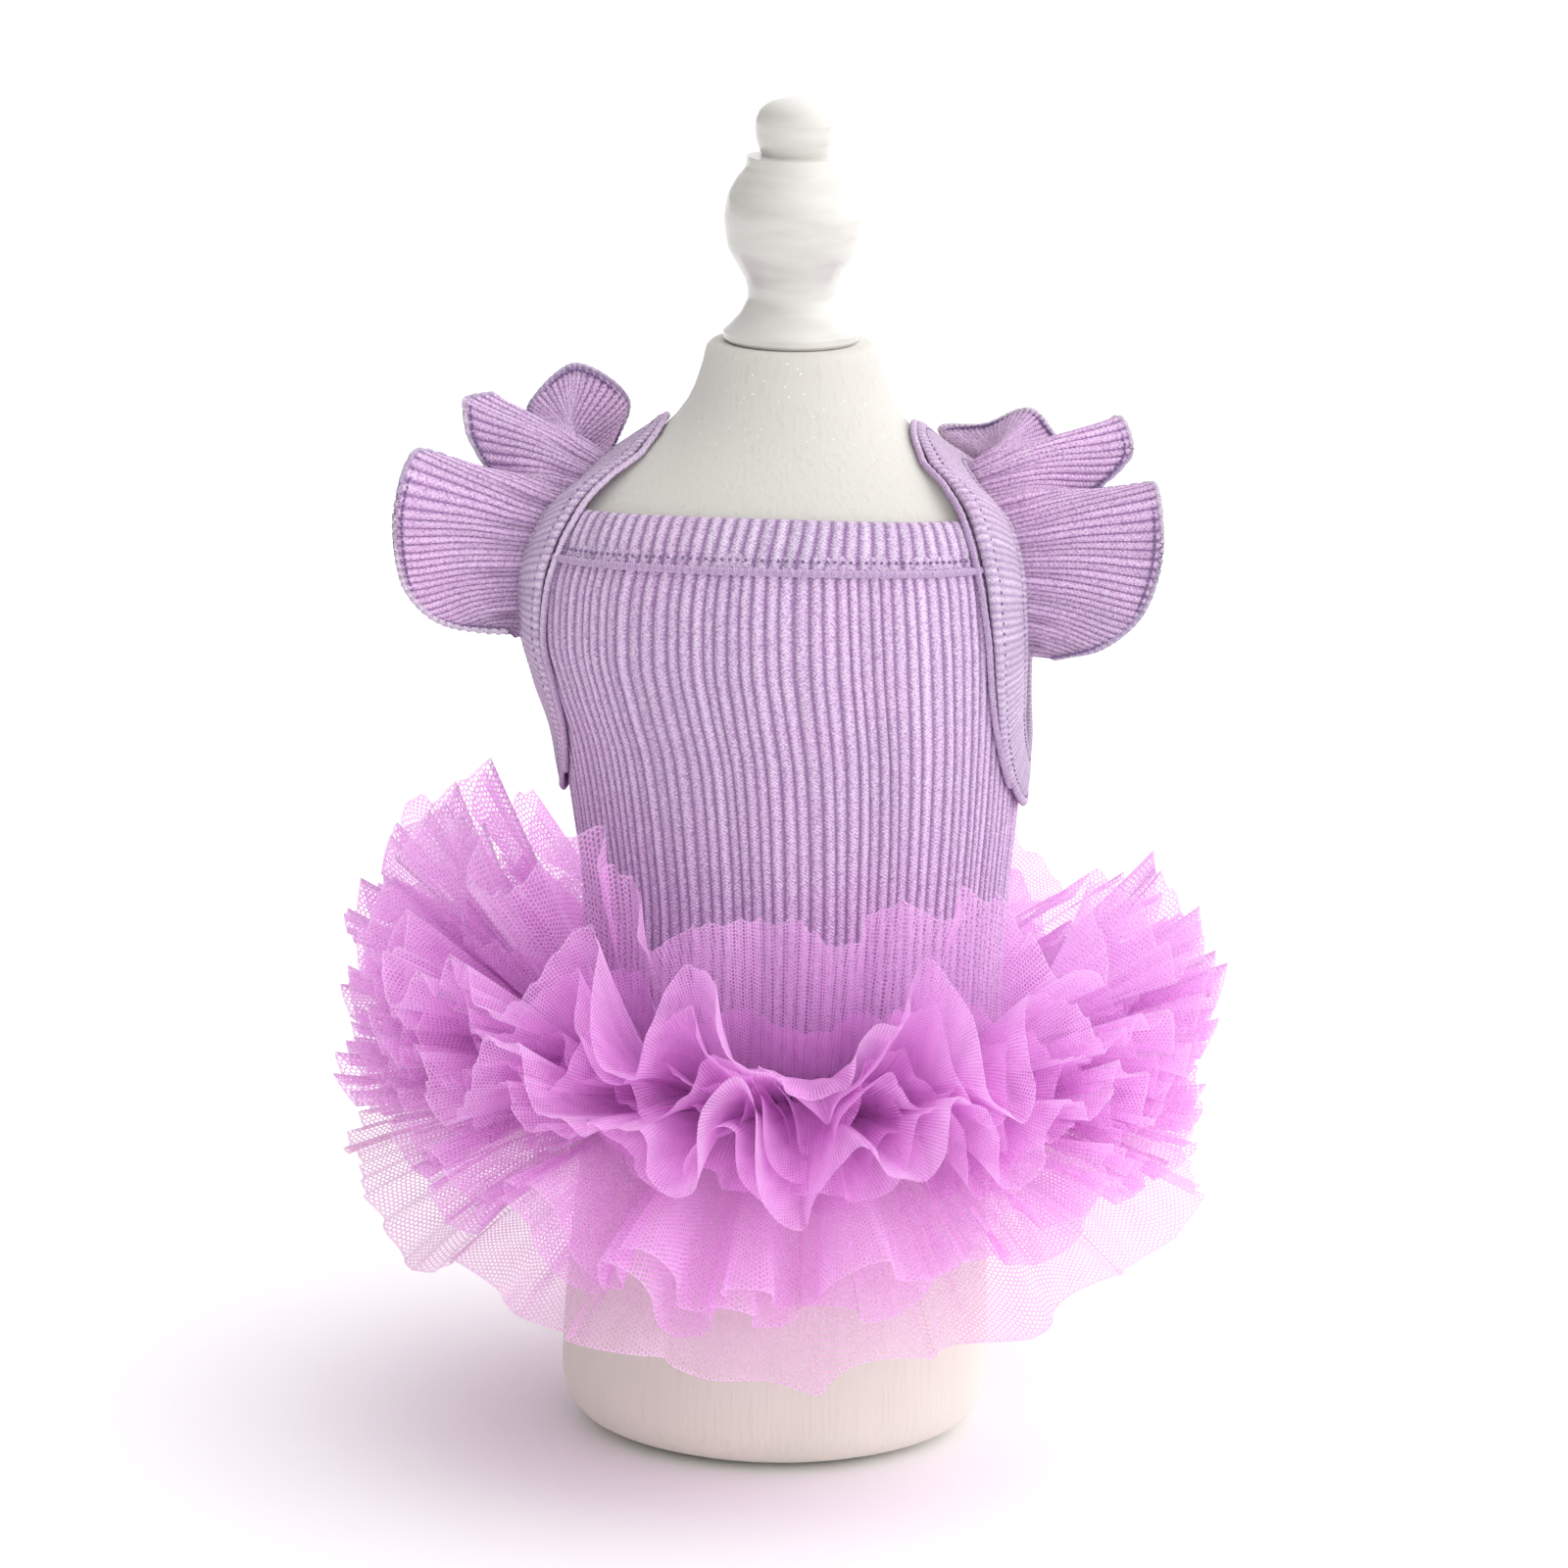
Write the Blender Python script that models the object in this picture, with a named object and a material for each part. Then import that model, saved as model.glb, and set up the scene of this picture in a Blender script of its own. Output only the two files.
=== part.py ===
"""A small pet's tutu dress in lilac rib knit, worn by a limbless table-top dress form.

Metres, +Z up. The front of the dress faces -Y, and +X is on the viewer's right. The origin is the
centre of the form's flat underside. Angles round the body are measured from +X, so the front
centre is at -90 degrees. Sizes in the tables are millimetres.
"""

import math
from collections import namedtuple

import bmesh
import bpy
import numpy as np

MM = 0.001

# ---- driving sizes, in millimetres and degrees ---------------------------------------------------

FORM_TOP = 283.4  # flat top of the neck
FINIAL_BASE = 283.7  # underside of the turned finial
FORM_FACETS = 32
FINIAL_FACETS = 20

TWIST = -5.0  # the dress sits turned this far round the form
SLOPE_STEP = 0.5  # the form's slope is taken between points this far above and below
EASE = 1.0  # the knit stands this far off the form
KNIT = 1.0  # rib knit, plain inside to the groove between two ribs
RIB_HEIGHT = 0.6
SEAM = 0.3  # gap between pieces that are sewn edge to edge
CLEAR = 0.5  # gap between a piece and the ribs it lies on
RIBS_PER_PANEL = 60
PANEL_HEM = 80.0
PANEL_ROWS = (0.0, 0.36, 0.54, 0.66, 0.76, 0.85, 0.93, 1.0)  # closer where the chest is round
INNER_EVERY = 5  # the plain inside has a column for every so many outer ones
INNER_CLIMB = 9.0  # and one wherever the edge climbs further than this between two of them
SIDE_SEAM = 0.25  # half the gap at the side seam, in degrees
EDGE_STEP = 0.25  # heights tried to find where the armhole cuts the panel

NECK_TOP = 245.4  # upper edge of the neckband at its middle
NECK_DIP = 3.8  # its ends would lie this much lower at the sides
NECKBAND = 10.5  # its height
NECKBAND_RIBS = 36
NECKBAND_INNER_EVERY = 4  # its plain inside has a column for every so many outer ones
NECKBAND_RISE = 0.5  # the folded band is this much thicker than the panel
NECKBAND_GAP = 4 * SEAM  # between its ends and the binding

ARM_MIDDLE = 214.5  # height of the armhole's centre
ARM_HALF_HEIGHT = 40.5  # to the middle of the binding
ARM_HALF_DEPTH = 19.5
BINDING = 12.0  # width of the armhole binding, which is also the shoulder strap
BINDING_WALL = 1.4
BINDING_CROWN = 0.4
BINDING_COLUMNS = 52
LEAST_FACING = 0.5  # where the form faces up, the binding is laid out at this share of its width
STRAP_FROM, STRAP_TO = 240.0, 250.0  # heights between which the binding leaves the panel

FLUTTER_WALL = 1.0
FLUTTER_GAP = 3 * SEAM  # between its gathered seam and the binding
FLUTTER_COLUMNS = 44
FLUTTER_ROWS = 3
FLUTTER_BOW = 0.7  # how strongly the sleeve springs up off the shoulder before it falls
FLUTTER_LEAN = 15.0  # an edge that leans this far over the binding makes the sleeve bow twice as much

NET_WALL = 1.0
TIER_ROWS = 2
COLUMNS_PER_WAVE = 6
DROOP = 6.0  # how much a tier bends down between its seam and its edge, in degrees

SHARP = 32.0  # edges sharper than this aren't shaded smooth, in degrees

KNIT_OUT = EASE + KNIT + RIB_HEIGHT
OVER_KNIT = KNIT_OUT + CLEAR

# ---- tables --------------------------------------------------------------------------------------

# The padded form isn't quite straight: lean is how far a section lies to the side of the axis.
FormSection = namedtuple("FormSection", "height half_width half_depth lean")
FORM = [
    FormSection(0.0, 43.5, 39.5, 0.0),
    FormSection(3.5, 51.4, 47.0, 0.0),
    FormSection(8.0, 54.4, 50.0, 0.0),
    FormSection(13.5, 55.4, 51.0, 0.0),
    FormSection(40.0, 54.5, 49.5, 0.3),
    FormSection(75.0, 52.0, 47.2, 1.5),
    FormSection(105.0, 51.0, 46.0, 2.6),
    FormSection(140.0, 51.8, 46.4, 3.4),
    FormSection(165.0, 54.4, 48.2, 2.8),
    FormSection(185.0, 56.8, 51.0, 1.6),
    FormSection(200.0, 59.6, 53.6, -0.6),
    FormSection(212.0, 61.2, 54.2, -2.2),
    FormSection(224.0, 60.4, 52.6, -2.6),
    FormSection(234.0, 57.6, 48.8, -2.2),
    FormSection(242.0, 53.4, 44.2, -1.5),
    FormSection(249.0, 46.8, 38.4, -0.8),
    FormSection(255.5, 38.4, 32.6, -0.4),
    FormSection(262.0, 30.6, 27.6, 0.0),
    FormSection(270.0, 25.0, 24.0, 0.2),
    FormSection(278.0, 22.4, 22.0, 0.3),
    FormSection(282.0, 21.4, 21.2, 0.2),
    FormSection(FORM_TOP, 19.8, 19.6, 0.0),
]

TurnedRing = namedtuple("TurnedRing", "above_base radius")
FINIAL = [
    TurnedRing(0.0, 16.5),
    TurnedRing(0.7, 17.1),
    TurnedRing(2.2, 17.1),
    TurnedRing(3.0, 16.2),
    TurnedRing(4.6, 14.7),
    TurnedRing(7.4, 12.5),
    TurnedRing(11.7, 11.1),
    TurnedRing(15.0, 11.7),
    TurnedRing(19.0, 13.9),
    TurnedRing(24.0, 16.4),
    TurnedRing(30.5, 17.3),
    TurnedRing(36.0, 16.5),
    TurnedRing(40.5, 14.3),
    TurnedRing(43.6, 12.1),
    TurnedRing(46.2, 11.7),
    TurnedRing(46.5, 8.2),
    TurnedRing(48.2, 8.8),
    TurnedRing(51.0, 9.7),
    TurnedRing(54.2, 9.9),
    TurnedRing(57.4, 8.8),
    TurnedRing(59.6, 6.2),
    TurnedRing(60.6, 3.0),
]

# A flutter sleeve's free edge, fold by fold from its front end to its back end. The turn is where
# that fold starts on the armhole, and x, y and z are where its edge lies.
EdgePoint = namedtuple("EdgePoint", "turn x y z")
FLUTTER_EDGES = {
    "left": [
        EdgePoint(100, -70, -14, 211),
        EdgePoint(86, -86, -20, 214),
        EdgePoint(72, -96, -21, 225),
        EdgePoint(58, -98, -19, 240),
        EdgePoint(44, -93, -13, 256),
        EdgePoint(30, -83, 3, 248),
        EdgePoint(16, -79, 3, 266),
        EdgePoint(0, -67, 15, 257),
        EdgePoint(-16, -60, 21, 265),
        EdgePoint(-34, -50, 25, 270),
        EdgePoint(-52, -40, 33, 260),
        EdgePoint(-68, -46, 40, 247),
        EdgePoint(-85, -62, 40, 232),
        EdgePoint(-100, -71, 24, 213),
    ],
    "right": [
        EdgePoint(100, 67, -22, 208),
        EdgePoint(86, 79, -26, 212),
        EdgePoint(72, 89, -26, 222),
        EdgePoint(58, 93, -22, 238),
        EdgePoint(46, 91, -16, 251),
        EdgePoint(32, 77, -3, 247),
        EdgePoint(18, 86, 1, 259),
        EdgePoint(4, 70, 13, 252),
        EdgePoint(-16, 61, 18, 263),
        EdgePoint(-32, 50, 27, 258),
        EdgePoint(-50, 39, 31, 256),
        EdgePoint(-66, 48, 38, 244),
        EdgePoint(-84, 61, 34, 230),
        EdgePoint(-100, 67, 18, 212),
    ],
}

# A tier's lift is the angle of its edge above the level, its swing is how far its waves carry the
# edge up and down from that, and its reach is the length from seam to edge, all four ways round.
# The swings keep every tier in a wedge of its own.
Round = namedtuple("Round", "front left back right")
Tier = namedtuple("Tier", "name seam_height waves phase lift swing reach material")
TIERS = [
    Tier("tulle_tier_1", 104.0, 16, 2.7, Round(64, 44, 30, 24), Round(15, 7, 9, 5),
         Round(46, 66, 62, 56), "tulle"),
    Tier("tulle_tier_2", 99.5, 20, 0.4, Round(32, 28, 10, 13), Round(13, 6, 8.5, 4.5),
         Round(48, 64, 62, 56), "tulle"),
    Tier("tulle_tier_3", 95.0, 22, 1.9, Round(4, 14, -8, 3), Round(12, 5.5, 8.5, 4.5),
         Round(50, 62, 60, 54), "tulle"),
    Tier("tulle_tier_4", 90.5, 21, 4.0, Round(-22, 1, -27, -6), Round(10, 5, 7.5, 3.5),
         Round(54, 58, 58, 52), "tulle"),
    Tier("underskirt_net", 86.0, 12, 5.2, Round(-47, -12, -45, -15), Round(5, 3, 5, 3),
         Round(60, 56, 60, 50), "net"),
]
FOLD_BACK = 0.75  # how far a wave's two sides lean over each other: over 0.5, the fold overhangs
UNEVEN = 0.45  # how far the waves are crowded together and drawn apart, in radians of phase
CROWDED_SLOW, CROWDED_FAST = 2, 5  # how many times round they crowd, in two overlaid rhythms
SHALLOWEST = 0.72  # the lowest wave's share of the full swing
SHALLOW_TIMES = 3  # how many times round the waves grow shallow

Finish = namedtuple("Finish", "colour roughness metallic")
FINISHES = {
    "rib_knit": Finish((0.56, 0.40, 0.66), 0.85, 0.0),
    "tulle": Finish((0.66, 0.34, 0.72), 0.6, 0.0),
    "net": Finish((0.86, 0.80, 0.84), 0.6, 0.0),
    "form_cover": Finish((0.82, 0.79, 0.73), 0.9, 0.0),
    "painted_wood": Finish((0.86, 0.84, 0.80), 0.35, 0.0),
}


# ---- curves and surfaces -------------------------------------------------------------------------

def smooth(x, table_x, table_y):
    """A smooth curve through a table that never overshoots it: cubic pieces with limited slopes."""
    table_x, table_y = np.asarray(table_x, float), np.asarray(table_y, float)
    step = np.diff(table_x)
    rise = np.diff(table_y) / step
    slope = np.concatenate([[rise[0]], np.zeros(len(rise) - 1), [rise[-1]]])
    same_way = rise[:-1] * rise[1:] > 0
    slope[1:-1][same_way] = 2 * (rise[:-1] * rise[1:] / (rise[:-1] + rise[1:] + 1e-12))[same_way]
    x = np.clip(x, table_x[0], table_x[-1])
    at = np.clip(np.searchsorted(table_x, x) - 1, 0, len(step) - 1)
    t = (x - table_x[at]) / step[at]
    return ((1 + 2 * t) * (1 - t) ** 2 * table_y[at] + t * (1 - t) ** 2 * step[at] * slope[at]
            + t * t * (3 - 2 * t) * table_y[at + 1] - t * t * (1 - t) * step[at] * slope[at + 1])


def form_half_sizes(height):
    """The form's half width and half depth at a height."""
    heights = [s.height for s in FORM]
    return (smooth(height, heights, [s.half_width for s in FORM]),
            smooth(height, heights, [s.half_depth for s in FORM]))


def on_form(angle, height, out):
    """Points on the form's oval sections, moved out square to its surface by `out`."""
    angle, height, out = np.broadcast_arrays(*map(np.asarray, (angle, height, out)))
    wide, deep = form_half_sizes(height)
    wide_above, deep_above = form_half_sizes(height + SLOPE_STEP)
    wide_below, deep_below = form_half_sizes(height - SLOPE_STEP)
    wide_slope = (wide_above - wide_below) / (2 * SLOPE_STEP)
    deep_slope = (deep_above - deep_below) / (2 * SLOPE_STEP)
    lean = smooth(height, [s.height for s in FORM], [s.lean for s in FORM])
    c, s = np.cos(angle), np.sin(angle)
    normal = np.stack([deep * c, wide * s, -(wide * deep_slope * s * s + deep * wide_slope * c * c)], -1)
    normal /= np.linalg.norm(normal, axis=-1, keepdims=True)
    return np.stack([wide * c + lean, deep * s, height], -1) + normal * out[..., None]


def on_dress(angle, height, out):
    """Points off the form in the dress's own angles, which are turned a little round the form."""
    return on_form(np.asarray(angle) + math.radians(TWIST), height, out)


def side_angle(side, y, height):
    """The angle round the dress of the point that lies at depth y on that side."""
    angle = np.arcsin(np.clip(y / form_half_sizes(height)[1], -1, 1))
    return angle if side > 0 else math.pi - angle


def round_value(values, angle):
    """A value that changes round the body, from its values four ways round."""
    c, s = np.cos(angle), np.sin(angle)
    return (values.front * np.maximum(0, -s) ** 2 + values.back * np.maximum(0, s) ** 2
            + values.left * np.maximum(0, -c) ** 2 + values.right * np.maximum(0, c) ** 2)


def surface_normals(grid, closed):
    """Unit normals of a grid of points, [column, row], from its neighbours."""
    if closed:
        along = np.roll(grid, -1, 0) - np.roll(grid, 1, 0)
    else:
        along = np.gradient(grid, axis=0)
    across = np.gradient(grid, axis=1)
    normal = np.cross(along, across)
    return normal / np.linalg.norm(normal, axis=-1, keepdims=True)


# ---- solids from grids -----------------------------------------------------------------------------

def rim_faces(outer, inner, inner_at):
    """Triangles that close the gap between an outer edge and an inner one with fewer points, which
    lie at the outer points numbered in inner_at."""
    faces = []
    for i, (first, last) in enumerate(zip(inner_at, inner_at[1:])):
        half = (first + last) // 2
        for m in range(first, last):
            near = inner[i] if m < half else inner[i + 1]
            faces.append((outer[m], outer[m + 1], near))
        faces.append((outer[half], inner[i + 1], inner[i]))
    return faces


def wall(name, outer, inner, closed, finish, inner_at=None):
    """A closed solid between two grids, [column, row]. The inner one may have only the columns that
    lie at the outer ones numbered in inner_at."""
    rows = outer.shape[1]
    if inner_at is None:
        inner_at = list(range(outer.shape[0] + closed))
    points = np.concatenate([outer.reshape(-1, 3), inner.reshape(-1, 3)]) * MM
    start = outer.shape[0] * rows

    def index_columns(count, first):
        columns = [[first + i * rows + j for j in range(rows)] for i in range(count)]
        return columns + columns[:1] if closed else columns

    out_ids = index_columns(outer.shape[0], 0)
    in_ids = index_columns(inner.shape[0], start)
    faces = []
    for ids in (out_ids, in_ids):
        for a, b in zip(ids, ids[1:]):
            faces += [(a[j], b[j], b[j + 1], a[j + 1]) for j in range(rows - 1)]
    for j in (0, rows - 1):
        faces += rim_faces([c[j] for c in out_ids], [c[j] for c in in_ids], inner_at)
    if not closed:
        for k in (0, -1):
            faces += [(out_ids[k][j], out_ids[k][j + 1], in_ids[k][j + 1], in_ids[k][j])
                      for j in range(rows - 1)]
    return solid(name, points, faces, finish)


def solid(name, points, faces, finish):
    """A mesh object with its faces pointing out."""
    mesh = bpy.data.meshes.new(name)
    mesh.from_pydata([tuple(p) for p in points], [], faces)
    work = bmesh.new()
    work.from_mesh(mesh)
    bmesh.ops.triangulate(work, faces=work.faces[:], quad_method="SHORT_EDGE")
    bmesh.ops.recalc_face_normals(work, faces=work.faces[:])
    work.to_mesh(mesh)
    work.free()
    mesh.shade_smooth()
    mesh.set_sharp_from_angle(angle=math.radians(SHARP))
    mesh.materials.append(material(finish))
    obj = bpy.data.objects.new(name, mesh)
    bpy.context.scene.collection.objects.link(obj)
    return obj


def sheet_wall(name, grid, thickness, closed, finish):
    """A wall of even thickness with the grid as its middle."""
    offset = surface_normals(grid, closed) * (thickness / 2)
    return wall(name, grid + offset, grid - offset, closed, finish)


def turned(name, rings, facets, finish):
    """A closed solid from oval rings, each (height, half width, half depth, lean), bottom first."""
    angles = np.arange(facets) * (2 * math.pi / facets)
    points, faces = [], []
    for height, wide, deep, lean in rings:
        points += [((wide * math.cos(a) + lean) * MM, deep * math.sin(a) * MM, height * MM)
                   for a in angles]
    for r in range(len(rings) - 1):
        for i in range(facets):
            k = (i + 1) % facets
            faces.append((r * facets + i, r * facets + k, (r + 1) * facets + k, (r + 1) * facets + i))
    faces.append(tuple(range(facets))[::-1])
    faces.append(tuple((len(rings) - 1) * facets + i for i in range(facets)))
    return solid(name, points, faces, finish)


def material(finish):
    """The finish's Principled material, made once."""
    made = bpy.data.materials.get(finish)
    if made:
        return made
    made = bpy.data.materials.new(finish)
    made.use_nodes = True
    shader = made.node_tree.nodes["Principled BSDF"]
    look = FINISHES[finish]
    shader.inputs["Base Color"].default_value = (*look.colour, 1.0)
    shader.inputs["Roughness"].default_value = look.roughness
    shader.inputs["Metallic"].default_value = look.metallic
    return made


# ---- the dress form ----------------------------------------------------------------------------------

def make_form():
    turned("form_body", FORM, FORM_FACETS, "form_cover")
    rings = [(FINIAL_BASE + r.above_base, r.radius, r.radius, 0.0) for r in FINIAL]
    turned("form_finial", rings, FINIAL_FACETS, "painted_wood")


# ---- the rib knit bodice -------------------------------------------------------------------------------

def neckline(angle):
    """The height of the neckband's upper edge at an angle."""
    return NECK_TOP - NECK_DIP * np.cos(angle) ** 2


def panel_top(angle):
    """How high the panel reaches at an angle: to the neckband, or to the middle of the binding."""
    neck = float(neckline(angle)) - NECKBAND - SEAM
    heights = np.arange(PANEL_HEM, neck, EDGE_STEP)
    y = form_half_sizes(heights)[1] * math.sin(angle)
    inside = (y / ARM_HALF_DEPTH) ** 2 + ((heights - ARM_MIDDLE) / ARM_HALF_HEIGHT) ** 2 < 1
    return float(heights[inside][0]) if inside.any() else neck


def inner_columns(tops):
    """Evenly spread columns, and more of them where the panel's edge climbs round the armhole."""
    kept = [0]
    for i in range(1, len(tops) - 1):
        if i - kept[-1] >= INNER_EVERY or abs(tops[i + 1] - tops[kept[-1]]) > INNER_CLIMB:
            kept.append(i)
    return kept + [len(tops) - 1]


def make_panel(name, first_degrees):
    """Half of the bodice, from side seam to side seam, with its ribs up and down."""
    columns = 2 * RIBS_PER_PANEL + 1
    angles = np.radians(np.linspace(first_degrees + SIDE_SEAM, first_degrees + 180 - SIDE_SEAM, columns))
    tops = np.array([panel_top(a) for a in angles])
    heights = PANEL_HEM + (tops - PANEL_HEM)[:, None] * np.array(PANEL_ROWS)
    crests = RIB_HEIGHT * (np.arange(columns) % 2)[:, None]
    outer = on_dress(angles[:, None], heights, EASE + KNIT + crests)
    kept = inner_columns(tops)
    inner = on_dress(angles[kept, None], heights[kept], EASE)
    return wall(name, outer, inner, False, "rib_knit", kept)


def binding_slope(side, turn):
    """How squarely the form's surface faces sideways along the armhole, up to 1."""
    y = -ARM_HALF_DEPTH * np.sin(turn)
    height = ARM_MIDDLE + ARM_HALF_HEIGHT * np.cos(turn)
    angle = side_angle(side, y, height)
    facing = on_form(angle, height, 1.0) - on_form(angle, height, 0.0)
    return np.maximum(np.abs(facing[..., 0]), LEAST_FACING)


def armhole_point(side, turn, aside, out):
    """A point by the armhole: turn is 0 at the shoulder and grows to the front, aside is the
    distance from the binding's middle towards the neck, and out is the height off the form."""
    spread = aside * binding_slope(side, turn)
    y = -(ARM_HALF_DEPTH + spread) * np.sin(turn)
    height = ARM_MIDDLE + (ARM_HALF_HEIGHT + spread) * np.cos(turn)
    return on_dress(side_angle(side, y, height), height, out)


def binding_lift(turn):
    """How far the binding's underside is off the form: over the knit, or close on the shoulder."""
    height = ARM_MIDDLE + ARM_HALF_HEIGHT * np.cos(turn)
    share = np.clip((height - STRAP_FROM) / (STRAP_TO - STRAP_FROM), 0, 1)
    share = share * share * (3 - 2 * share)
    return OVER_KNIT + (EASE - OVER_KNIT) * share


def make_binding(name, side):
    """The armhole's binding, a closed loop whose upper part is the shoulder strap."""
    turn = np.arange(BINDING_COLUMNS) * (2 * math.pi / BINDING_COLUMNS)
    aside = np.array([-0.5, 0.0, 0.5]) * BINDING
    crown = np.array([0.0, BINDING_CROWN, 0.0])
    under = binding_lift(turn)[:, None]
    inner = armhole_point(side, turn[:, None], aside, under + 0 * crown)
    outer = armhole_point(side, turn[:, None], aside, under + BINDING_WALL + crown)
    return wall(name, outer, inner, True, "rib_knit")


def neckband_end(side, front, height):
    """The angle at which the neckband meets the binding, at one height."""
    aside = BINDING / 2 + NECKBAND_GAP
    turn = math.acos((height - ARM_MIDDLE) / ARM_HALF_HEIGHT)
    spread = aside * float(binding_slope(side, np.array(turn)))
    turn = math.acos((height - ARM_MIDDLE) / (ARM_HALF_HEIGHT + spread))
    y = -(ARM_HALF_DEPTH + spread) * math.sin(turn) * front
    return float(side_angle(side, y, height))


def make_neckband(name, front):
    """The folded band along the neckline: front is 1 on the chest and -1 on the back."""
    columns = 2 * NECKBAND_RIBS + 1
    kept = list(range(0, columns, NECKBAND_INNER_EVERY))
    drops = np.array([NECKBAND, NECKBAND / 2, 0.0])
    edges = []
    for drop in drops:
        right = neckband_end(1, front, NECK_TOP - NECK_DIP - drop)
        left = neckband_end(-1, front, NECK_TOP - NECK_DIP - drop) - (2 * math.pi if front > 0 else 0)
        edges.append(np.linspace(left, right, columns))
    angles = np.stack(edges, 1)
    heights = neckline(angles) - drops
    crests = RIB_HEIGHT * (np.arange(columns) % 2)[:, None]
    outer = on_dress(angles, heights, EASE + KNIT + NECKBAND_RISE + crests)
    inner = on_dress(angles[kept], heights[kept], EASE)
    return wall(name, outer, inner, False, "rib_knit", kept)


# ---- the flutter sleeves -------------------------------------------------------------------------------

def flutter_surface(side, edge, along, across):
    """The sleeve's middle surface. along runs 0 to 1 from its front end over the shoulder to its
    back end, and across 0 to 1 from the seam to the free edge."""
    table_along = [(edge[0].turn - e.turn) / (edge[0].turn - edge[-1].turn) for e in edge]
    tip = np.stack([smooth(along, table_along, [e.x for e in edge]),
                    smooth(along, table_along, [e.y for e in edge]),
                    smooth(along, table_along, [e.z for e in edge])], -1)
    turn = np.radians(edge[0].turn + (edge[-1].turn - edge[0].turn) * along)
    aside = -(BINDING / 2 + FLUTTER_GAP + FLUTTER_WALL / 2)
    out = binding_lift(turn) + BINDING_WALL
    seam = armhole_point(side, turn, aside, out)
    away = armhole_point(side, turn, aside, out + 1) - seam
    inward = armhole_point(side, turn, aside + 1, out) - seam
    reach = np.linalg.norm(tip - seam, axis=-1)
    lean = np.maximum(0, np.sum((tip - seam) * inward, -1))
    bow = FLUTTER_BOW * reach * (1 + lean / FLUTTER_LEAN) * across * (1 - across) ** 2
    return seam + across[..., None] * (tip - seam) + bow[..., None] * away


def make_flutter(name, side, edge):
    along = np.linspace(0.0, 1.0, FLUTTER_COLUMNS + 1)[:, None]
    across = np.linspace(0.0, 1.0, FLUTTER_ROWS + 1)[None, :]
    along, across = np.broadcast_arrays(along, across)
    return sheet_wall(name, flutter_surface(side, edge, along, across), FLUTTER_WALL, False, "rib_knit")


# ---- the tulle skirt -----------------------------------------------------------------------------------

def tier_surface(tier, angle, across):
    """A tier's middle surface. angle goes round the body, and across 0 to 1 from seam to edge."""
    crowding = (np.sin(CROWDED_SLOW * angle + tier.phase)
                + np.sin(CROWDED_FAST * angle + 2 * tier.phase))
    wave = tier.waves * angle + tier.phase + UNEVEN * crowding
    size = 1 - (1 - SHALLOWEST) * (0.5 + 0.5 * np.sin(SHALLOW_TIMES * angle + tier.phase))
    leaning = angle - FOLD_BACK / tier.waves * np.sin(2 * wave) * across
    lift = (round_value(tier.lift, angle) + round_value(tier.swing, angle) * size * np.sin(wave)
            + DROOP * (1 - across))
    lift = np.radians(lift)
    reach = round_value(tier.reach, angle) * across
    seam = on_form(angle, tier.seam_height, OVER_KNIT + SEAM + NET_WALL / 2)
    outward = np.stack([np.cos(leaning), np.sin(leaning), 0 * leaning], -1)
    upward = np.array([0.0, 0.0, 1.0])
    return seam + (reach * np.cos(lift))[..., None] * outward + (reach * np.sin(lift))[..., None] * upward


def make_tier(tier):
    columns = tier.waves * COLUMNS_PER_WAVE
    angle = (np.arange(columns) * (2 * math.pi / columns))[:, None]
    across = np.linspace(0.0, 1.0, TIER_ROWS + 1)[None, :]
    angle, across = np.broadcast_arrays(angle, across)
    return sheet_wall(tier.name, tier_surface(tier, angle, across), NET_WALL, True, tier.material)


# ---- the whole part --------------------------------------------------------------------------------------

def main():
    for obj in list(bpy.data.objects):
        bpy.data.objects.remove(obj)
    make_form()
    make_panel("bodice_front", -180)
    make_panel("bodice_back", 0)
    make_neckband("neckband_front", 1)
    make_neckband("neckband_back", -1)
    for name, side in (("left", -1), ("right", 1)):
        make_binding(f"armhole_binding_{name}", side)
        make_flutter(f"flutter_sleeve_{name}", side, FLUTTER_EDGES[name])
    for tier in TIERS:
        make_tier(tier)


main()
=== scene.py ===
"""A small pet's tutu dress in lilac rib knit and orchid tulle, on a limbless table-top dress form.

Metres, +Z up, the front of the dress towards -Y. Angles round the body run from +X, so the front
centre is at -90 degrees. Tables and sizes are in millimetres.
"""

import math
from collections import namedtuple
from functools import partial

import bpy
import numpy as np
from mathutils import Matrix


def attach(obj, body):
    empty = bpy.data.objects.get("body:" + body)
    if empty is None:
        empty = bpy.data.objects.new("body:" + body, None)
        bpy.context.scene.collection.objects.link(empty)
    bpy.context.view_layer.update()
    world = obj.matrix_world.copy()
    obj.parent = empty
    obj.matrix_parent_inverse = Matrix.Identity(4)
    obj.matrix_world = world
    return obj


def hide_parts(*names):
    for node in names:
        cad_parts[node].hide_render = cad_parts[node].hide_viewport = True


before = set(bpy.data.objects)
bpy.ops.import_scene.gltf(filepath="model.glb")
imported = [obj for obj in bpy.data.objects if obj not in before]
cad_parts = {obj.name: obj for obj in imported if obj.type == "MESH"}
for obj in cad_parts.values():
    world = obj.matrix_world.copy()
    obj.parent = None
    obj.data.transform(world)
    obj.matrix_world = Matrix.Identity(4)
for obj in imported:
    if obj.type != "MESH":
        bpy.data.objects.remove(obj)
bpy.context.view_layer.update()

# ---- The padded dress form -----------------------------------------------------------------------
# A foam torso without arms or head, in a pulled-on cream jersey cover whose fine knit columns run
# up and down. It stands on its own flat base, and the dress is pulled over it.

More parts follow.
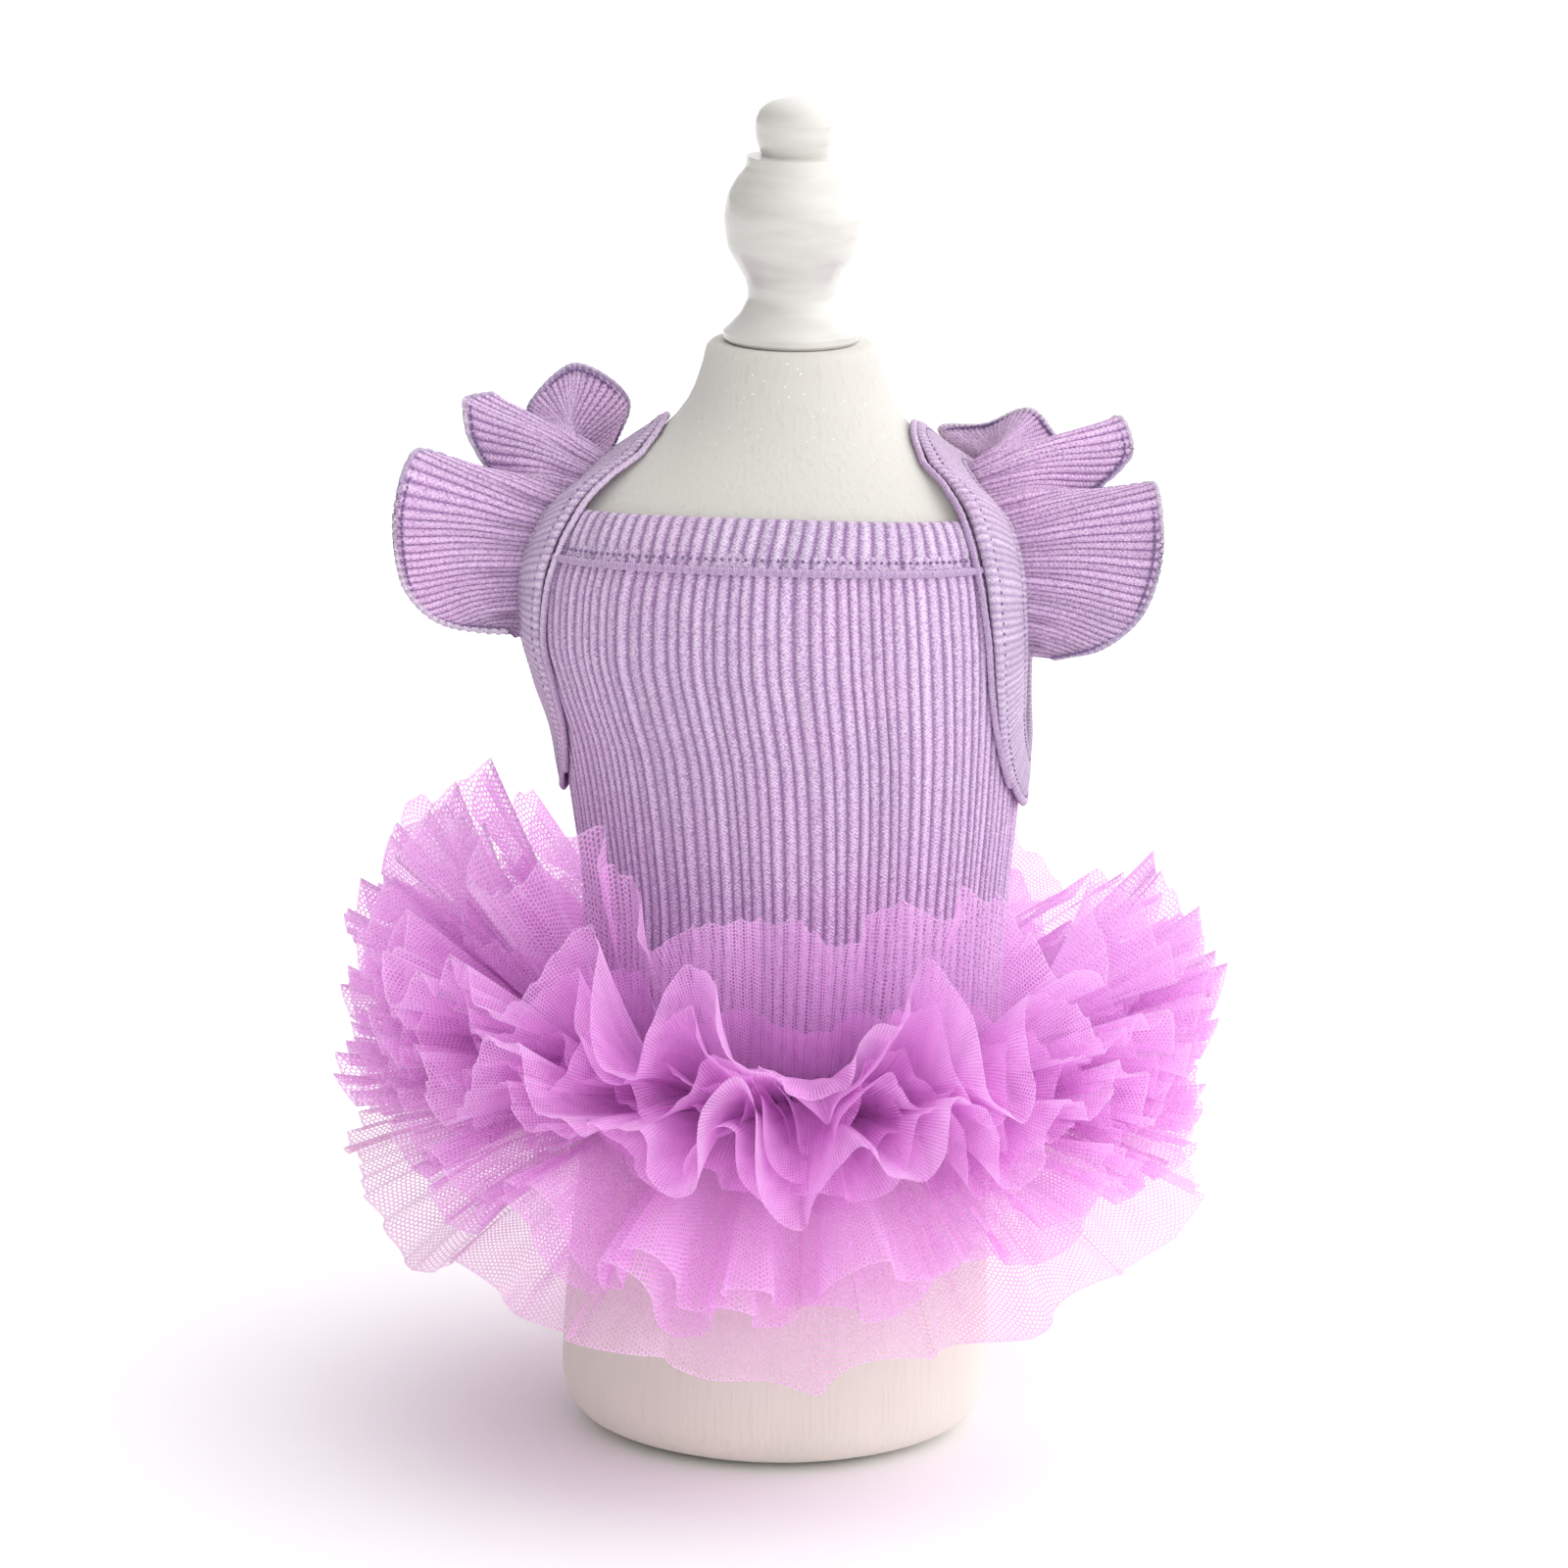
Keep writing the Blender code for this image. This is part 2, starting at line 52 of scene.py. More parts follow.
MM = 0.001
FormSection = namedtuple("FormSection", "height half_width half_depth lean")
FORM = [FormSection(*row) for row in (
    (0.0, 43.5, 39.5, 0.0), (3.5, 51.4, 47.0, 0.0), (8.0, 54.4, 50.0, 0.0), (13.5, 55.4, 51.0, 0.0),
    (40.0, 54.5, 49.5, 0.3), (75.0, 52.0, 47.2, 1.5), (105.0, 51.0, 46.0, 2.6),
    (140.0, 51.8, 46.4, 3.4), (165.0, 54.4, 48.2, 2.8), (185.0, 56.8, 51.0, 1.6),
    (200.0, 59.6, 53.6, -0.6), (212.0, 61.2, 54.2, -2.2), (224.0, 60.4, 52.6, -2.6),
    (234.0, 57.6, 48.8, -2.2), (242.0, 53.4, 44.2, -1.5), (249.0, 46.8, 38.4, -0.8),
    (255.5, 38.4, 32.6, -0.4), (262.0, 30.6, 27.6, 0.0), (270.0, 25.0, 24.0, 0.2),
    (278.0, 22.4, 22.0, 0.3), (282.0, 21.4, 21.2, 0.2), (283.4, 19.8, 19.6, 0.0)
)]
FORM_SIDES, FORM_STEP = 112, 4.0
FORM_CORNERS = {1.2, 2.3, 5.5, 10.5, 280.3, 282.8}  # more rings where the form turns sharply
ROUNDED_UNDER = math.radians(38)  # edges that turn less than this are shaded round


def smooth(x, table_x, table_y):
    """A smooth curve through a table that never overshoots it."""
    table_x, table_y = np.asarray(table_x, float), np.asarray(table_y, float)
    step = np.diff(table_x)
    rise = np.diff(table_y) / step
    slope = np.concatenate([[rise[0]], np.zeros(len(rise) - 1), [rise[-1]]])
    same_way = rise[:-1] * rise[1:] > 0
    slope[1:-1][same_way] = 2 * (rise[:-1] * rise[1:] / (rise[:-1] + rise[1:] + 1e-12))[same_way]
    x = np.clip(x, table_x[0], table_x[-1])
    at = np.clip(np.searchsorted(table_x, x) - 1, 0, len(step) - 1)
    t = (x - table_x[at]) / step[at]
    return ((1 + 2 * t) * (1 - t) ** 2 * table_y[at] + t * (1 - t) ** 2 * step[at] * slope[at]
            + t * t * (3 - 2 * t) * table_y[at + 1] - t * t * (1 - t) * step[at] * slope[at + 1])


def form_size(part, height):
    """A half width, half depth or lean of the form at a height."""
    return smooth(height, [s.height for s in FORM], [getattr(s, part) for s in FORM])


def mode(word):
    bpy.ops.object.mode_set(mode=word)


def raise_rings(name, rings, sides):
    """Raises a ring up from its base, section by section, and closes both ends."""
    bpy.ops.object.select_all(action="DESELECT")
    height, wide, deep, lean = rings[0]
    bpy.ops.mesh.primitive_circle_add(vertices=sides, radius=wide * MM,
                                      location=(lean * MM, 0, height * MM))
    body = bpy.context.object
    body.name = body.data.name = name
    mode("EDIT")
    bpy.ops.mesh.select_all(action="SELECT")
    bpy.ops.transform.resize(value=(1, deep / wide, 1))
    for low, high in zip(rings, rings[1:]):
        move = ((high[3] - low[3]) * MM, 0, (high[0] - low[0]) * MM)
        bpy.ops.mesh.extrude_region_move(TRANSFORM_OT_translate={"value": move})
        bpy.ops.transform.resize(value=(high[1] / low[1], high[2] / low[2], 1))
    bpy.ops.mesh.edge_face_add()
    bpy.ops.mesh.select_all(action="DESELECT")
    bpy.ops.mesh.select_non_manifold()
    bpy.ops.mesh.edge_face_add()
    bpy.ops.mesh.select_all(action="SELECT")
    bpy.ops.mesh.normals_make_consistent(inside=False)
    mode("OBJECT")
    bpy.ops.object.transform_apply()
    bpy.ops.object.shade_smooth_by_angle(angle=ROUNDED_UNDER)
    return body


heights = sorted({s.height for s in FORM[:4]} | {s.height for s in FORM[-3:]}
                 | set(np.arange(16.0, 281.0, FORM_STEP)) | FORM_CORNERS)
SIZES = ("half_width", "half_depth", "lean")
rings = [(h, *(float(form_size(part, h)) for part in SIZES)) for h in heights]
form_cover = raise_rings("form_cover", rings, FORM_SIDES)
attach(form_cover, "root")
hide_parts("form_body")


def node_group(name, inputs, outputs):
    """An empty shader node group with its sockets: (kind, name, value) in, (kind, name) out."""
    group = bpy.data.node_groups.new(name, "ShaderNodeTree")
    for kind, socket, value in inputs:
        made = group.interface.new_socket(name=socket, in_out="INPUT", socket_type="NodeSocket" + kind)
        if value is not None:
            made.default_value = value
    for kind, socket in outputs:
        group.interface.new_socket(name=socket, in_out="OUTPUT", socket_type="NodeSocket" + kind)
    return group, group.nodes.new("NodeGroupInput").outputs, group.nodes.new("NodeGroupOutput").inputs


def put(tree, kind, links=(), **settings):
    """Adds a node. links are (input, value or socket), and settings are the node's own."""
    node = tree.nodes.new("ShaderNode" + kind)
    for key, value in settings.items():
        setattr(node, key, value)
    for socket, value in links:
        if isinstance(value, bpy.types.NodeSocket):
            tree.links.new(value, node.inputs[socket])
        else:
            node.inputs[socket].default_value = value
    return node


def math_node(tree, operation, a, b=0.0, c=0.0):
    return put(tree, "Math", [(0, a), (1, b), (2, c)], operation=operation).outputs[0]


def ramp(tree, value, low, high):
    """0 below low and 1 above high, eased between them. low may be the greater of the two."""
    node = put(tree, "MapRange", [("Value", value)], interpolation_type="SMOOTHSTEP")
    if low < high:
        node.inputs["From Min"].default_value, node.inputs["From Max"].default_value = low, high
    else:
        node.inputs["From Min"].default_value, node.inputs["From Max"].default_value = high, low
        node.inputs["To Min"].default_value, node.inputs["To Max"].default_value = 1.0, 0.0
    return node.outputs["Result"]


def times(tree, a, b):
    return math_node(tree, "MULTIPLY", a, b)


def noise(tree, scale, detail, place=None):
    """Noise over the object's own metres, or over the place given."""
    if place is None:
        place = put(tree, "TexCoord").outputs["Object"]
    return put(tree, "TexNoise", [("Vector", place), ("Scale", scale), ("Detail", detail)]).outputs[0]


def mix_colour(tree, share, a, b):
    """Colour a where share is 0 and b where it is 1. Either may be a socket."""
    a, b = (c if isinstance(c, bpy.types.NodeSocket) else (*c, 1.0) for c in (a, b))
    return put(tree, "Mix", [(0, share), (6, a), (7, b)], data_type="RGBA").outputs[2]


def darker(colour, by):
    return tuple(by * c for c in colour)


def surface(tree, shader, colour, height, strength, distance):
    """Gives the shader its colour and a fine relief."""
    tree.links.new(colour, shader.inputs["Base Color"])
    bump = put(tree, "Bump", [("Height", height), ("Strength", strength), ("Distance", distance)])
    tree.links.new(bump.outputs[0], shader.inputs["Normal"])


def new_material(name, roughness, **sockets):
    """A Principled material with uniform values on the shader's own sockets."""
    made = bpy.data.materials.new(name)
    made.use_nodes = True
    shader = made.node_tree.nodes["Principled BSDF"]
    shader.inputs["Roughness"].default_value = roughness
    for socket, value in sockets.items():
        shader.inputs[socket.replace("_", " ")].default_value = value
    return made, made.node_tree, shader


cover, tree, shader = new_material("cream_jersey", 0.92, Sheen_Weight=0.25, Sheen_Roughness=0.5)
place = put(tree, "TexCoord").outputs["Object"]
columns = put(tree, "Mapping", [("Vector", place), ("Scale", (900, 900, 55))]).outputs[0]
strands = noise(tree, 1.0, 3.0, columns)
broad = noise(tree, 16.0, 2.0, place)
height = put(tree, "SeparateXYZ", [(0, place)]).outputs[2]
low_down = ramp(tree, height, 0.10, 0.0)
# painted light: the cover is lighter and pinker towards its base, for light bounced up from the floor and
# the tulle
with_painted_bounce = mix_colour(tree, low_down, (0.62, 0.60, 0.56), (0.80, 0.73, 0.66))
clouds = times(tree, ramp(tree, broad, 0.42, 0.75), 0.35)
shaded = mix_colour(tree, clouds, with_painted_bounce, (0.56, 0.53, 0.475))
seen = math_node(tree, "MULTIPLY_ADD", low_down, -0.18, 0.30)
furrows = times(tree, ramp(tree, strands, 0.52, 0.72), seen)
grain = mix_colour(tree, furrows, shaded, (0.50, 0.475, 0.42))
lint = put(tree, "TexVoronoi", [("Vector", place), ("Scale", 420.0)]).outputs["Distance"]
near_neck = ramp(tree, height, 0.245, 0.275)
specks = times(tree, ramp(tree, lint, 0.15, 0.07), times(tree, near_neck, 0.6))
surface(tree, shader, mix_colour(tree, specks, grain, (0.95, 0.94, 0.92)), strands, 0.45, 0.0004)
form_cover.data.materials.append(cover)

# ---- The turned finial ---------------------------------------------------------------------------
# One piece of turned wood in several coats of glossy white paint: a flared foot, a vase, and a small
# knob on top. It is screwed down on the neck of the form, with a hairline gap under its foot.

TurnedRing = namedtuple("TurnedRing", "above_base radius")
FINIAL_BASE = 283.7
FINIAL_SIDES = 72
FINIAL = [TurnedRing(*row) for row in (
    (0.0, 16.5), (0.7, 17.1), (2.2, 17.1), (3.0, 16.2), (4.6, 14.7), (7.4, 12.5), (11.7, 11.1),
    (15.0, 11.7), (19.0, 13.9), (24.0, 16.4), (30.5, 17.3), (36.0, 16.5), (40.5, 14.3), (43.6, 12.1),
    (46.2, 11.7), (46.5, 8.2), (48.2, 8.8), (51.0, 9.7), (54.2, 9.9), (57.4, 8.8), (59.6, 6.2),
    (60.6, 3.0)
)]
above = sorted({r.above_base for r in FINIAL} | set(np.arange(1.0, 60.4, 1.0)) | {46.35, 60.2})
rings = []
for h in above:
    radius = float(smooth(h, [r.above_base for r in FINIAL], [r.radius for r in FINIAL]))
    rings.append((FINIAL_BASE + h, radius, radius, 0.0))
finial = raise_rings("turned_finial", rings, FINIAL_SIDES)
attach(finial, "root")
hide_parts("form_finial")
paint, tree, shader = new_material("white_gloss_paint", 0.24, Coat_Weight=0.5, Coat_Roughness=0.12)
place = put(tree, "TexCoord").outputs["Object"]
brushed = put(tree, "Mapping", [("Vector", place), ("Scale", (60, 60, 260))]).outputs[0]
streaks = noise(tree, 1.0, 2.0, brushed)
coats = mix_colour(tree, ramp(tree, streaks, 0.35, 0.75), (0.65, 0.63, 0.60), (0.57, 0.555, 0.52))
surface(tree, shader, coats, streaks, 0.12, 0.0004)
finial.data.materials.append(paint)

# ---- The rib knit bodice, front and back ---------------------------------------------------------
# Two panels of fine lilac rib knit, cut alike and sewn together at the sides. The fabric is stretched
# over the chest, so its ribs spread there and draw together at the waist.

TWIST = math.radians(-5.0)
EASE = 1.0
KNIT, KNIT_WALL = 1.0, 0.9
RIB_HEIGHT = 0.6
RIBS_PER_PANEL = 60
STEPS_PER_RIB = 8
PANEL_ROWS = 58
PANEL_HEM = 80.0
NECK_TOP, NECK_DIP, NECKBAND = 245.4, 3.8, 10.5
ARM_MIDDLE, ARM_HALF_HEIGHT, ARM_HALF_DEPTH = 214.5, 40.5, 19.5
SEAM = 0.3


def unit(vectors):
    return vectors / np.linalg.norm(vectors, axis=-1, keepdims=True)


def on_form(angle, height, out):
    """Points on the form's oval sections, moved out square to its surface."""
    angle, height, out = np.broadcast_arrays(*map(np.asarray, (angle, height, out)))
    wide, deep, lean = (form_size(part, height) for part in SIZES)
    wide_slope = form_size("half_width", height + 0.5) - form_size("half_width", height - 0.5)
    deep_slope = form_size("half_depth", height + 0.5) - form_size("half_depth", height - 0.5)
    c, s = np.cos(angle), np.sin(angle)
    upward = -(wide * deep_slope * s * s + deep * wide_slope * c * c)
    normal = unit(np.stack([deep * c, wide * s, upward], -1))
    return np.stack([wide * c + lean, deep * s, height], -1) + normal * out[..., None]


def lengths_along(line):
    """How far each point of a line is from its first one, along the line."""
    return np.concatenate([[0.0], np.cumsum(np.linalg.norm(np.diff(line, axis=0), axis=1))])


def link_mesh(name, mesh):
    mesh.shade_smooth()
    obj = bpy.data.objects.new(name, mesh)
    bpy.context.scene.collection.objects.link(obj)
    return obj


def activate(obj):
    bpy.ops.object.select_all(action="DESELECT")
    obj.select_set(True)
    bpy.context.view_layer.objects.active = obj


def cloth(name, grid, u, v, closed=False, flip=False):
    """A sheet from a grid of points in mm, [column, row], with its own UV map, u per column and v
    per row in mm or in ribs. A closed sheet's u has one more value than it has columns."""
    columns, rows = grid.shape[:2]
    count = columns if closed else columns - 1
    i, j = np.meshgrid(np.arange(count), np.arange(rows - 1), indexing="ij")
    k = (i + 1) % columns
    faces = np.stack([i * rows + j, k * rows + j, k * rows + j + 1, i * rows + j + 1], -1).reshape(-1, 4)
    u, v = np.asarray(u, float), np.asarray(v, float)
    if v.ndim == 1:
        v = np.broadcast_to(v, (len(u), rows))
    if u.ndim == 1:
        u = np.broadcast_to(u[:, None], (len(u), rows))
    corners = ((i, j), (i + 1, j), (i + 1, j + 1), (i, j + 1))
    uv = np.stack([np.stack([u[a, b], v[a, b]], -1) for a, b in corners], -2).reshape(-1, 4, 2)
    if flip:
        faces, uv = faces[:, ::-1], uv[:, ::-1]
    mesh = bpy.data.meshes.new(name)
    mesh.from_pydata((grid.reshape(-1, 3) * MM).tolist(), [], faces.tolist())
    mesh.uv_layers.new(name="cut").data.foreach_set("uv", np.ascontiguousarray(uv).ravel())
    return link_mesh(name, mesh)


def thicken(obj, thickness, offset=-1.0):
    """Gives a sheet its thickness with an applied Solidify."""
    activate(obj)
    wall = obj.modifiers.new("thickness", "SOLIDIFY")
    wall.thickness, wall.offset = thickness * MM, offset
    bpy.ops.object.modifier_apply(modifier=wall.name)


def rib_round(phase):
    """A rib's height from 0 in the groove to 1 on its flat round crest."""
    return (1 - np.abs(2 * (phase % 1.0) - 1) ** 2.1) ** 0.8


def panel_top(angle):
    """The height where a panel ends: under the neckband, or at the lower side of the armhole."""
    neck = NECK_TOP - NECK_DIP * math.cos(angle) ** 2 - NECKBAND - SEAM + 3.0
    heights = np.arange(PANEL_HEM, neck, 0.25)
    y = form_size("half_depth", heights) * math.sin(angle)
    inside = (y / ARM_HALF_DEPTH) ** 2 + ((heights - ARM_MIDDLE) / ARM_HALF_HEIGHT) ** 2 < 1
    return float(heights[inside][0]) if inside.any() else neck


def knit_panel(name, first_degrees, seed):
    """Half of the bodice, from one side seam to the other, with its ribs modelled."""
    columns = RIBS_PER_PANEL * STEPS_PER_RIB + 1
    ribs = np.linspace(0, RIBS_PER_PANEL, columns)
    angles = math.radians(first_degrees) + ribs / RIBS_PER_PANEL * math.pi
    tops = np.array([panel_top(a) for a in angles])
    share = 1 - (1 - np.linspace(0, 1, PANEL_ROWS)) ** 1.25
    heights = PANEL_HEM + (tops - PANEL_HEM)[:, None] * share
    fade = np.minimum(1, np.minimum(ribs, RIBS_PER_PANEL - ribs) / 2)[:, None]
    rib = ribs[:, None]
    wander = fade * (0.04 * np.sin(heights / 17 + 0.9 * rib + seed)
                     + 0.05 * np.sin(heights / 41 + 2.3 * rib)
                     + 0.22 * np.sin(0.55 * rib + 1.7 * seed))
    fullness = 1 + 0.22 * np.sin(np.floor(rib) * 2.1 + seed)
    out = EASE + KNIT + RIB_HEIGHT * rib_round(rib) * fullness
    bagging = 0.35 * np.sin(heights / 13 + 3 * angles[:, None]) * np.clip((132 - heights) / 20, 0, 1)
    grid = on_form(angles[:, None] + TWIST + wander / RIBS_PER_PANEL * math.pi, heights, out + bagging)
    panel = cloth(name, grid, ribs, heights - PANEL_HEM)
    thicken(panel, KNIT_WALL)
    return panel


# Knit effects: masks for the painted shade of grooves and the painted highlight along crests, a shade of its
# own for every rib, the stitches along a rib, and loose fibres. The vector counts ribs across and
# millimetres along.
ribbing, into, out_of = node_group(
    "ribbing", [("Vector", "Vector", None), ("Float", "Stitch Height", 0.9)],
    [("Float", word) for word in ("Groove", "Crest", "Shade", "Stitches", "Fuzz")])
rib_math = partial(math_node, ribbing)
fibres = noise(ribbing, 1500.0, 2.0)
ribbing.links.new(fibres, out_of["Fuzz"])
apart = put(ribbing, "SeparateXYZ", [(0, into["Vector"])]).outputs
from_groove = rib_math("PINGPONG", apart[0], 0.5)
slanted = rib_math("ADD", rib_math("DIVIDE", apart[1], into["Stitch Height"]),
                   times(ribbing, rib_math("PINGPONG", from_groove, 0.25), 3.0))
loops = times(ribbing, rib_math("PINGPONG", slanted, 0.5), 2.0)
ribbing.links.new(loops, out_of["Stitches"])
jagged = rib_math("ADD", rib_math("MULTIPLY_ADD", loops, 0.08, from_groove),
                  rib_math("MULTIPLY_ADD", fibres, 0.22, -0.13))
# masks for the painted shade in the grooves and the painted highlight along the crests
ribbing.links.new(ramp(ribbing, jagged, 0.30, 0.05), out_of["Groove"])
ribbing.links.new(ramp(ribbing, jagged, 0.30, 0.44), out_of["Crest"])
rib_number = rib_math("FLOOR", apart[0])
own = put(ribbing, "TexWhiteNoise", [("W", rib_number)], noise_dimensions="1D").outputs["Value"]
ribbing.links.new(own, out_of["Shade"])


def rib_knit(name, crest, groove, stitch, depth):
    """The knit's material: a painted highlight along the crests, painted shade in the grooves and in the
    gaps between stitches, and stitches and fuzz in relief. stitch is the height of one in mm, groove is the
    colour of the painted shade, and depth is how dark the painted shade in the gaps between stitches is."""
    made, tree, shader = new_material(name, 0.88, Sheen_Weight=0.35, Sheen_Roughness=0.45)
    shader.inputs["Sheen Tint"].default_value = (0.95, 0.85, 1.0, 1.0)
    cut = put(tree, "UVMap", uv_map="cut").outputs[0]
    ribs = put(tree, "Group", [("Vector", cut), ("Stitch Height", stitch)], node_tree=ribbing).outputs
    fuzz = ribs["Fuzz"]
    rosy = (0.97 * crest[0], 0.79 * crest[1], 0.88 * crest[2])
    # the painted highlight's colour, paler than the crest
    light = tuple(min(1.0, 1.14 * c + 0.03) for c in crest)
    colour = mix_colour(tree, ribs["Shade"], darker(crest, 0.76), darker(crest, 0.91))
    # in this order: rosy clouds, painted highlights on the crests, pale fibres, the dark between them,
    # painted shade in the gaps between stitches and in the grooves
    for share, much, over in (
        (ramp(tree, noise(tree, 22.0, 3.0), 0.45, 0.72), 0.7, rosy),
        (ribs["Crest"], math_node(tree, "MULTIPLY_ADD", ribs["Shade"], 0.6, 0.25), light),
        (ramp(tree, fuzz, 0.51, 0.66), 0.55, (0.90, 0.80, 0.95)),
        (ramp(tree, fuzz, 0.47, 0.34), 0.45, groove),
        (ramp(tree, ribs["Stitches"], 0.45, 0.05), depth, groove),
        (ribs["Groove"], 0.80, groove),
    ):
        colour = mix_colour(tree, times(tree, share, much), colour, over)
    relief = math_node(tree, "ADD", ribs["Stitches"], times(tree, fuzz, 0.8))
    surface(tree, shader, colour, relief, 0.9, 0.0003)
    return made


def wear(piece, material):
    """Finishes a piece of the dress in knit or thread, which rides on the dress form."""
    piece.data.materials.append(material)
    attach(piece, "root")


# the groove colour is painted shade, far darker than the yarn
KNIT_CREST, KNIT_GROOVE_SHADE = (0.79, 0.575, 0.86), (0.31, 0.15, 0.37)
bodice_knit = rib_knit("lilac_rib_knit", KNIT_CREST, KNIT_GROOVE_SHADE, 0.95, 0.22)
for name, first, seed, node in (("knit_front", -180, 0.4, "bodice_front"),
                                ("knit_back", 0, 2.9, "bodice_back")):
    panel = knit_panel(name, first, seed)
    wear(panel, bodice_knit)
    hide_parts(node)

# ---- The neckbands -------------------------------------------------------------------------------
# A strip of the same knit folded over the neck edge and topstitched, with the cut edge rolled into a
# narrow beaded cord under the band. Its ribs run across the strip.

NECKBAND_RIBS = 36
NECKBAND_STITCHES, STITCHED_AT, STITCHED_OVER = 66, 9.2, 3.1  # how many, how far down and out
CORD_AT, CORD_OVER, CORD_POINTS = 11.7, 3.0, 420
BINDING = 12.0  # the width of the folded strip round an armhole
ROLL_SIDES = 8


def side_angle(side, y, height):
    """The angle of the point on the left (-1) or right (1) of the form that is at y."""
    angle = np.arcsin(np.clip(y / form_size("half_depth", height), -1, 1))
    return angle if side > 0 else math.pi - angle


def facing_sideways(side, turn):
    """How squarely the form faces sideways along the armhole."""
    y = -ARM_HALF_DEPTH * np.sin(turn)
    height = ARM_MIDDLE + ARM_HALF_HEIGHT * np.cos(turn)
    angle = side_angle(side, y, height)
    facing = on_form(angle, height, 1.0) - on_form(angle, height, 0.0)
    return np.maximum(np.abs(facing[..., 0]), 0.5)


def neckband_end(side, front, height):
    """The angle where the band runs in under the armhole's binding."""
    turn = math.acos((height - ARM_MIDDLE) / ARM_HALF_HEIGHT)
    spread = (BINDING / 2 - 1.0) * float(facing_sideways(side, np.array(turn)))
    turn = math.acos((height - ARM_MIDDLE) / (ARM_HALF_HEIGHT + spread))
    return float(side_angle(side, -(ARM_HALF_DEPTH + spread) * math.sin(turn) * front, height))


def band_point(front, share, drop, out):
    """A point on the neckband: share 0 to 1 from its left end to its right end as seen in front."""
    share, drop, out = np.broadcast_arrays(share, drop, out)
    table = np.array([0.0, NECKBAND / 2, NECKBAND])
    ends = []
    for side in (-1, 1):
        turns = [neckband_end(side, front, NECK_TOP - NECK_DIP - d) for d in table]
        if side < 0 and front > 0:
            turns = [t - 2 * math.pi for t in turns]
        ends.append(np.interp(drop, table, turns))
    angle = ends[0] + (ends[1] - ends[0]) * share
    height = NECK_TOP - NECK_DIP * np.cos(angle) ** 2 - drop
    return on_form(angle + TWIST, height, out)


def stitch_model(length, thick):
    """One stitch of thread: a rounded bar, shaped once and then copied along the seams."""
    bpy.ops.object.select_all(action="DESELECT")
    bpy.ops.mesh.primitive_cylinder_add(vertices=6, radius=thick / 2 * MM, depth=length * 0.6 * MM,
                                        rotation=(0, math.pi / 2, 0))
    bar = bpy.context.object
    mode("EDIT")
    bpy.ops.mesh.select_all(action="DESELECT")
    mode("OBJECT")
    for face in bar.data.polygons:
        face.select = len(face.vertices) > 4
    mode("EDIT")
    bpy.ops.mesh.extrude_faces_move(TRANSFORM_OT_shrink_fatten={"value": length * 0.2 * MM})
    mode("OBJECT")
    bpy.ops.object.transform_apply()
    ends = [v for v in bar.data.vertices if abs(v.co.x) > length * 0.45 * MM]
    for v in ends:
        v.co.y *= 0.45
        v.co.z *= 0.45
    points = np.array([v.co[:] for v in bar.data.vertices])
    faces = [tuple(f.vertices) for f in bar.data.polygons]
    bpy.data.objects.remove(bar)
    return points, faces


def stitches(name, at, along, outward, length, thick):
    """A row of stitches as one mesh: at in mm, lying along the seam with their backs outward."""
    points, faces = stitch_model(length, thick)
    along = unit(along)
    across = unit(np.cross(outward, along))
    up = np.cross(along, across)
    x, y, z = (points[None, :, n:n + 1] for n in range(3))
    placed = at[:, None] * MM + x * along[:, None] + y * across[:, None] + z * up[:, None]
    all_faces = [tuple(n + k * len(points) for n in f) for k in range(len(at)) for f in faces]
    mesh = bpy.data.meshes.new(name)
    mesh.from_pydata(placed.reshape(-1, 3).tolist(), [], all_faces)
    return link_mesh(name, mesh)


def rolled_edge(name, line, radius, beads, bead_pitch):
    """A thin roll of cloth along a line of points in mm, with beads where the thread pulls it in."""
    tangent = unit(np.gradient(line, axis=0))
    side = unit(np.cross(tangent, np.array([0.13, 0.21, 0.97])))
    up = np.cross(side, tangent)
    far = lengths_along(line)
    size = radius * (1 + beads * np.sin(2 * math.pi * far / bead_pitch))
    turn = (np.arange(ROLL_SIDES) * (2 * math.pi / ROLL_SIDES))[:, None, None]
    grid = line[None] + size[None, :, None] * (np.cos(turn) * side[None] + np.sin(turn) * up[None])
    first, last = (np.broadcast_to(line[n], (ROLL_SIDES, 1, 3)) for n in (0, -1))
    grid = np.concatenate([first, grid, last], 1)
    far = np.concatenate([far[:1], far, far[-1:]])
    roll = cloth(name, grid, np.linspace(0, 1, ROLL_SIDES + 1), far, closed=True, flip=True)
    activate(roll)
    mode("EDIT")
    bpy.ops.mesh.select_all(action="SELECT")
    bpy.ops.mesh.remove_doubles(threshold=1e-6)
    bpy.ops.mesh.normals_make_consistent(inside=False)
    mode("OBJECT")
    return roll


def thread_finish(name, colour):
    """Spun thread: twisted strands in relief."""
    made, tree, shader = new_material(name, 0.7, Sheen_Weight=0.3)
    twist = noise(tree, 2600.0, 1.0)
    spun = mix_colour(tree, ramp(tree, twist, 0.35, 0.65), colour, darker(colour, 0.6))
    surface(tree, shader, spun, twist, 0.6, 0.0002)
    return made


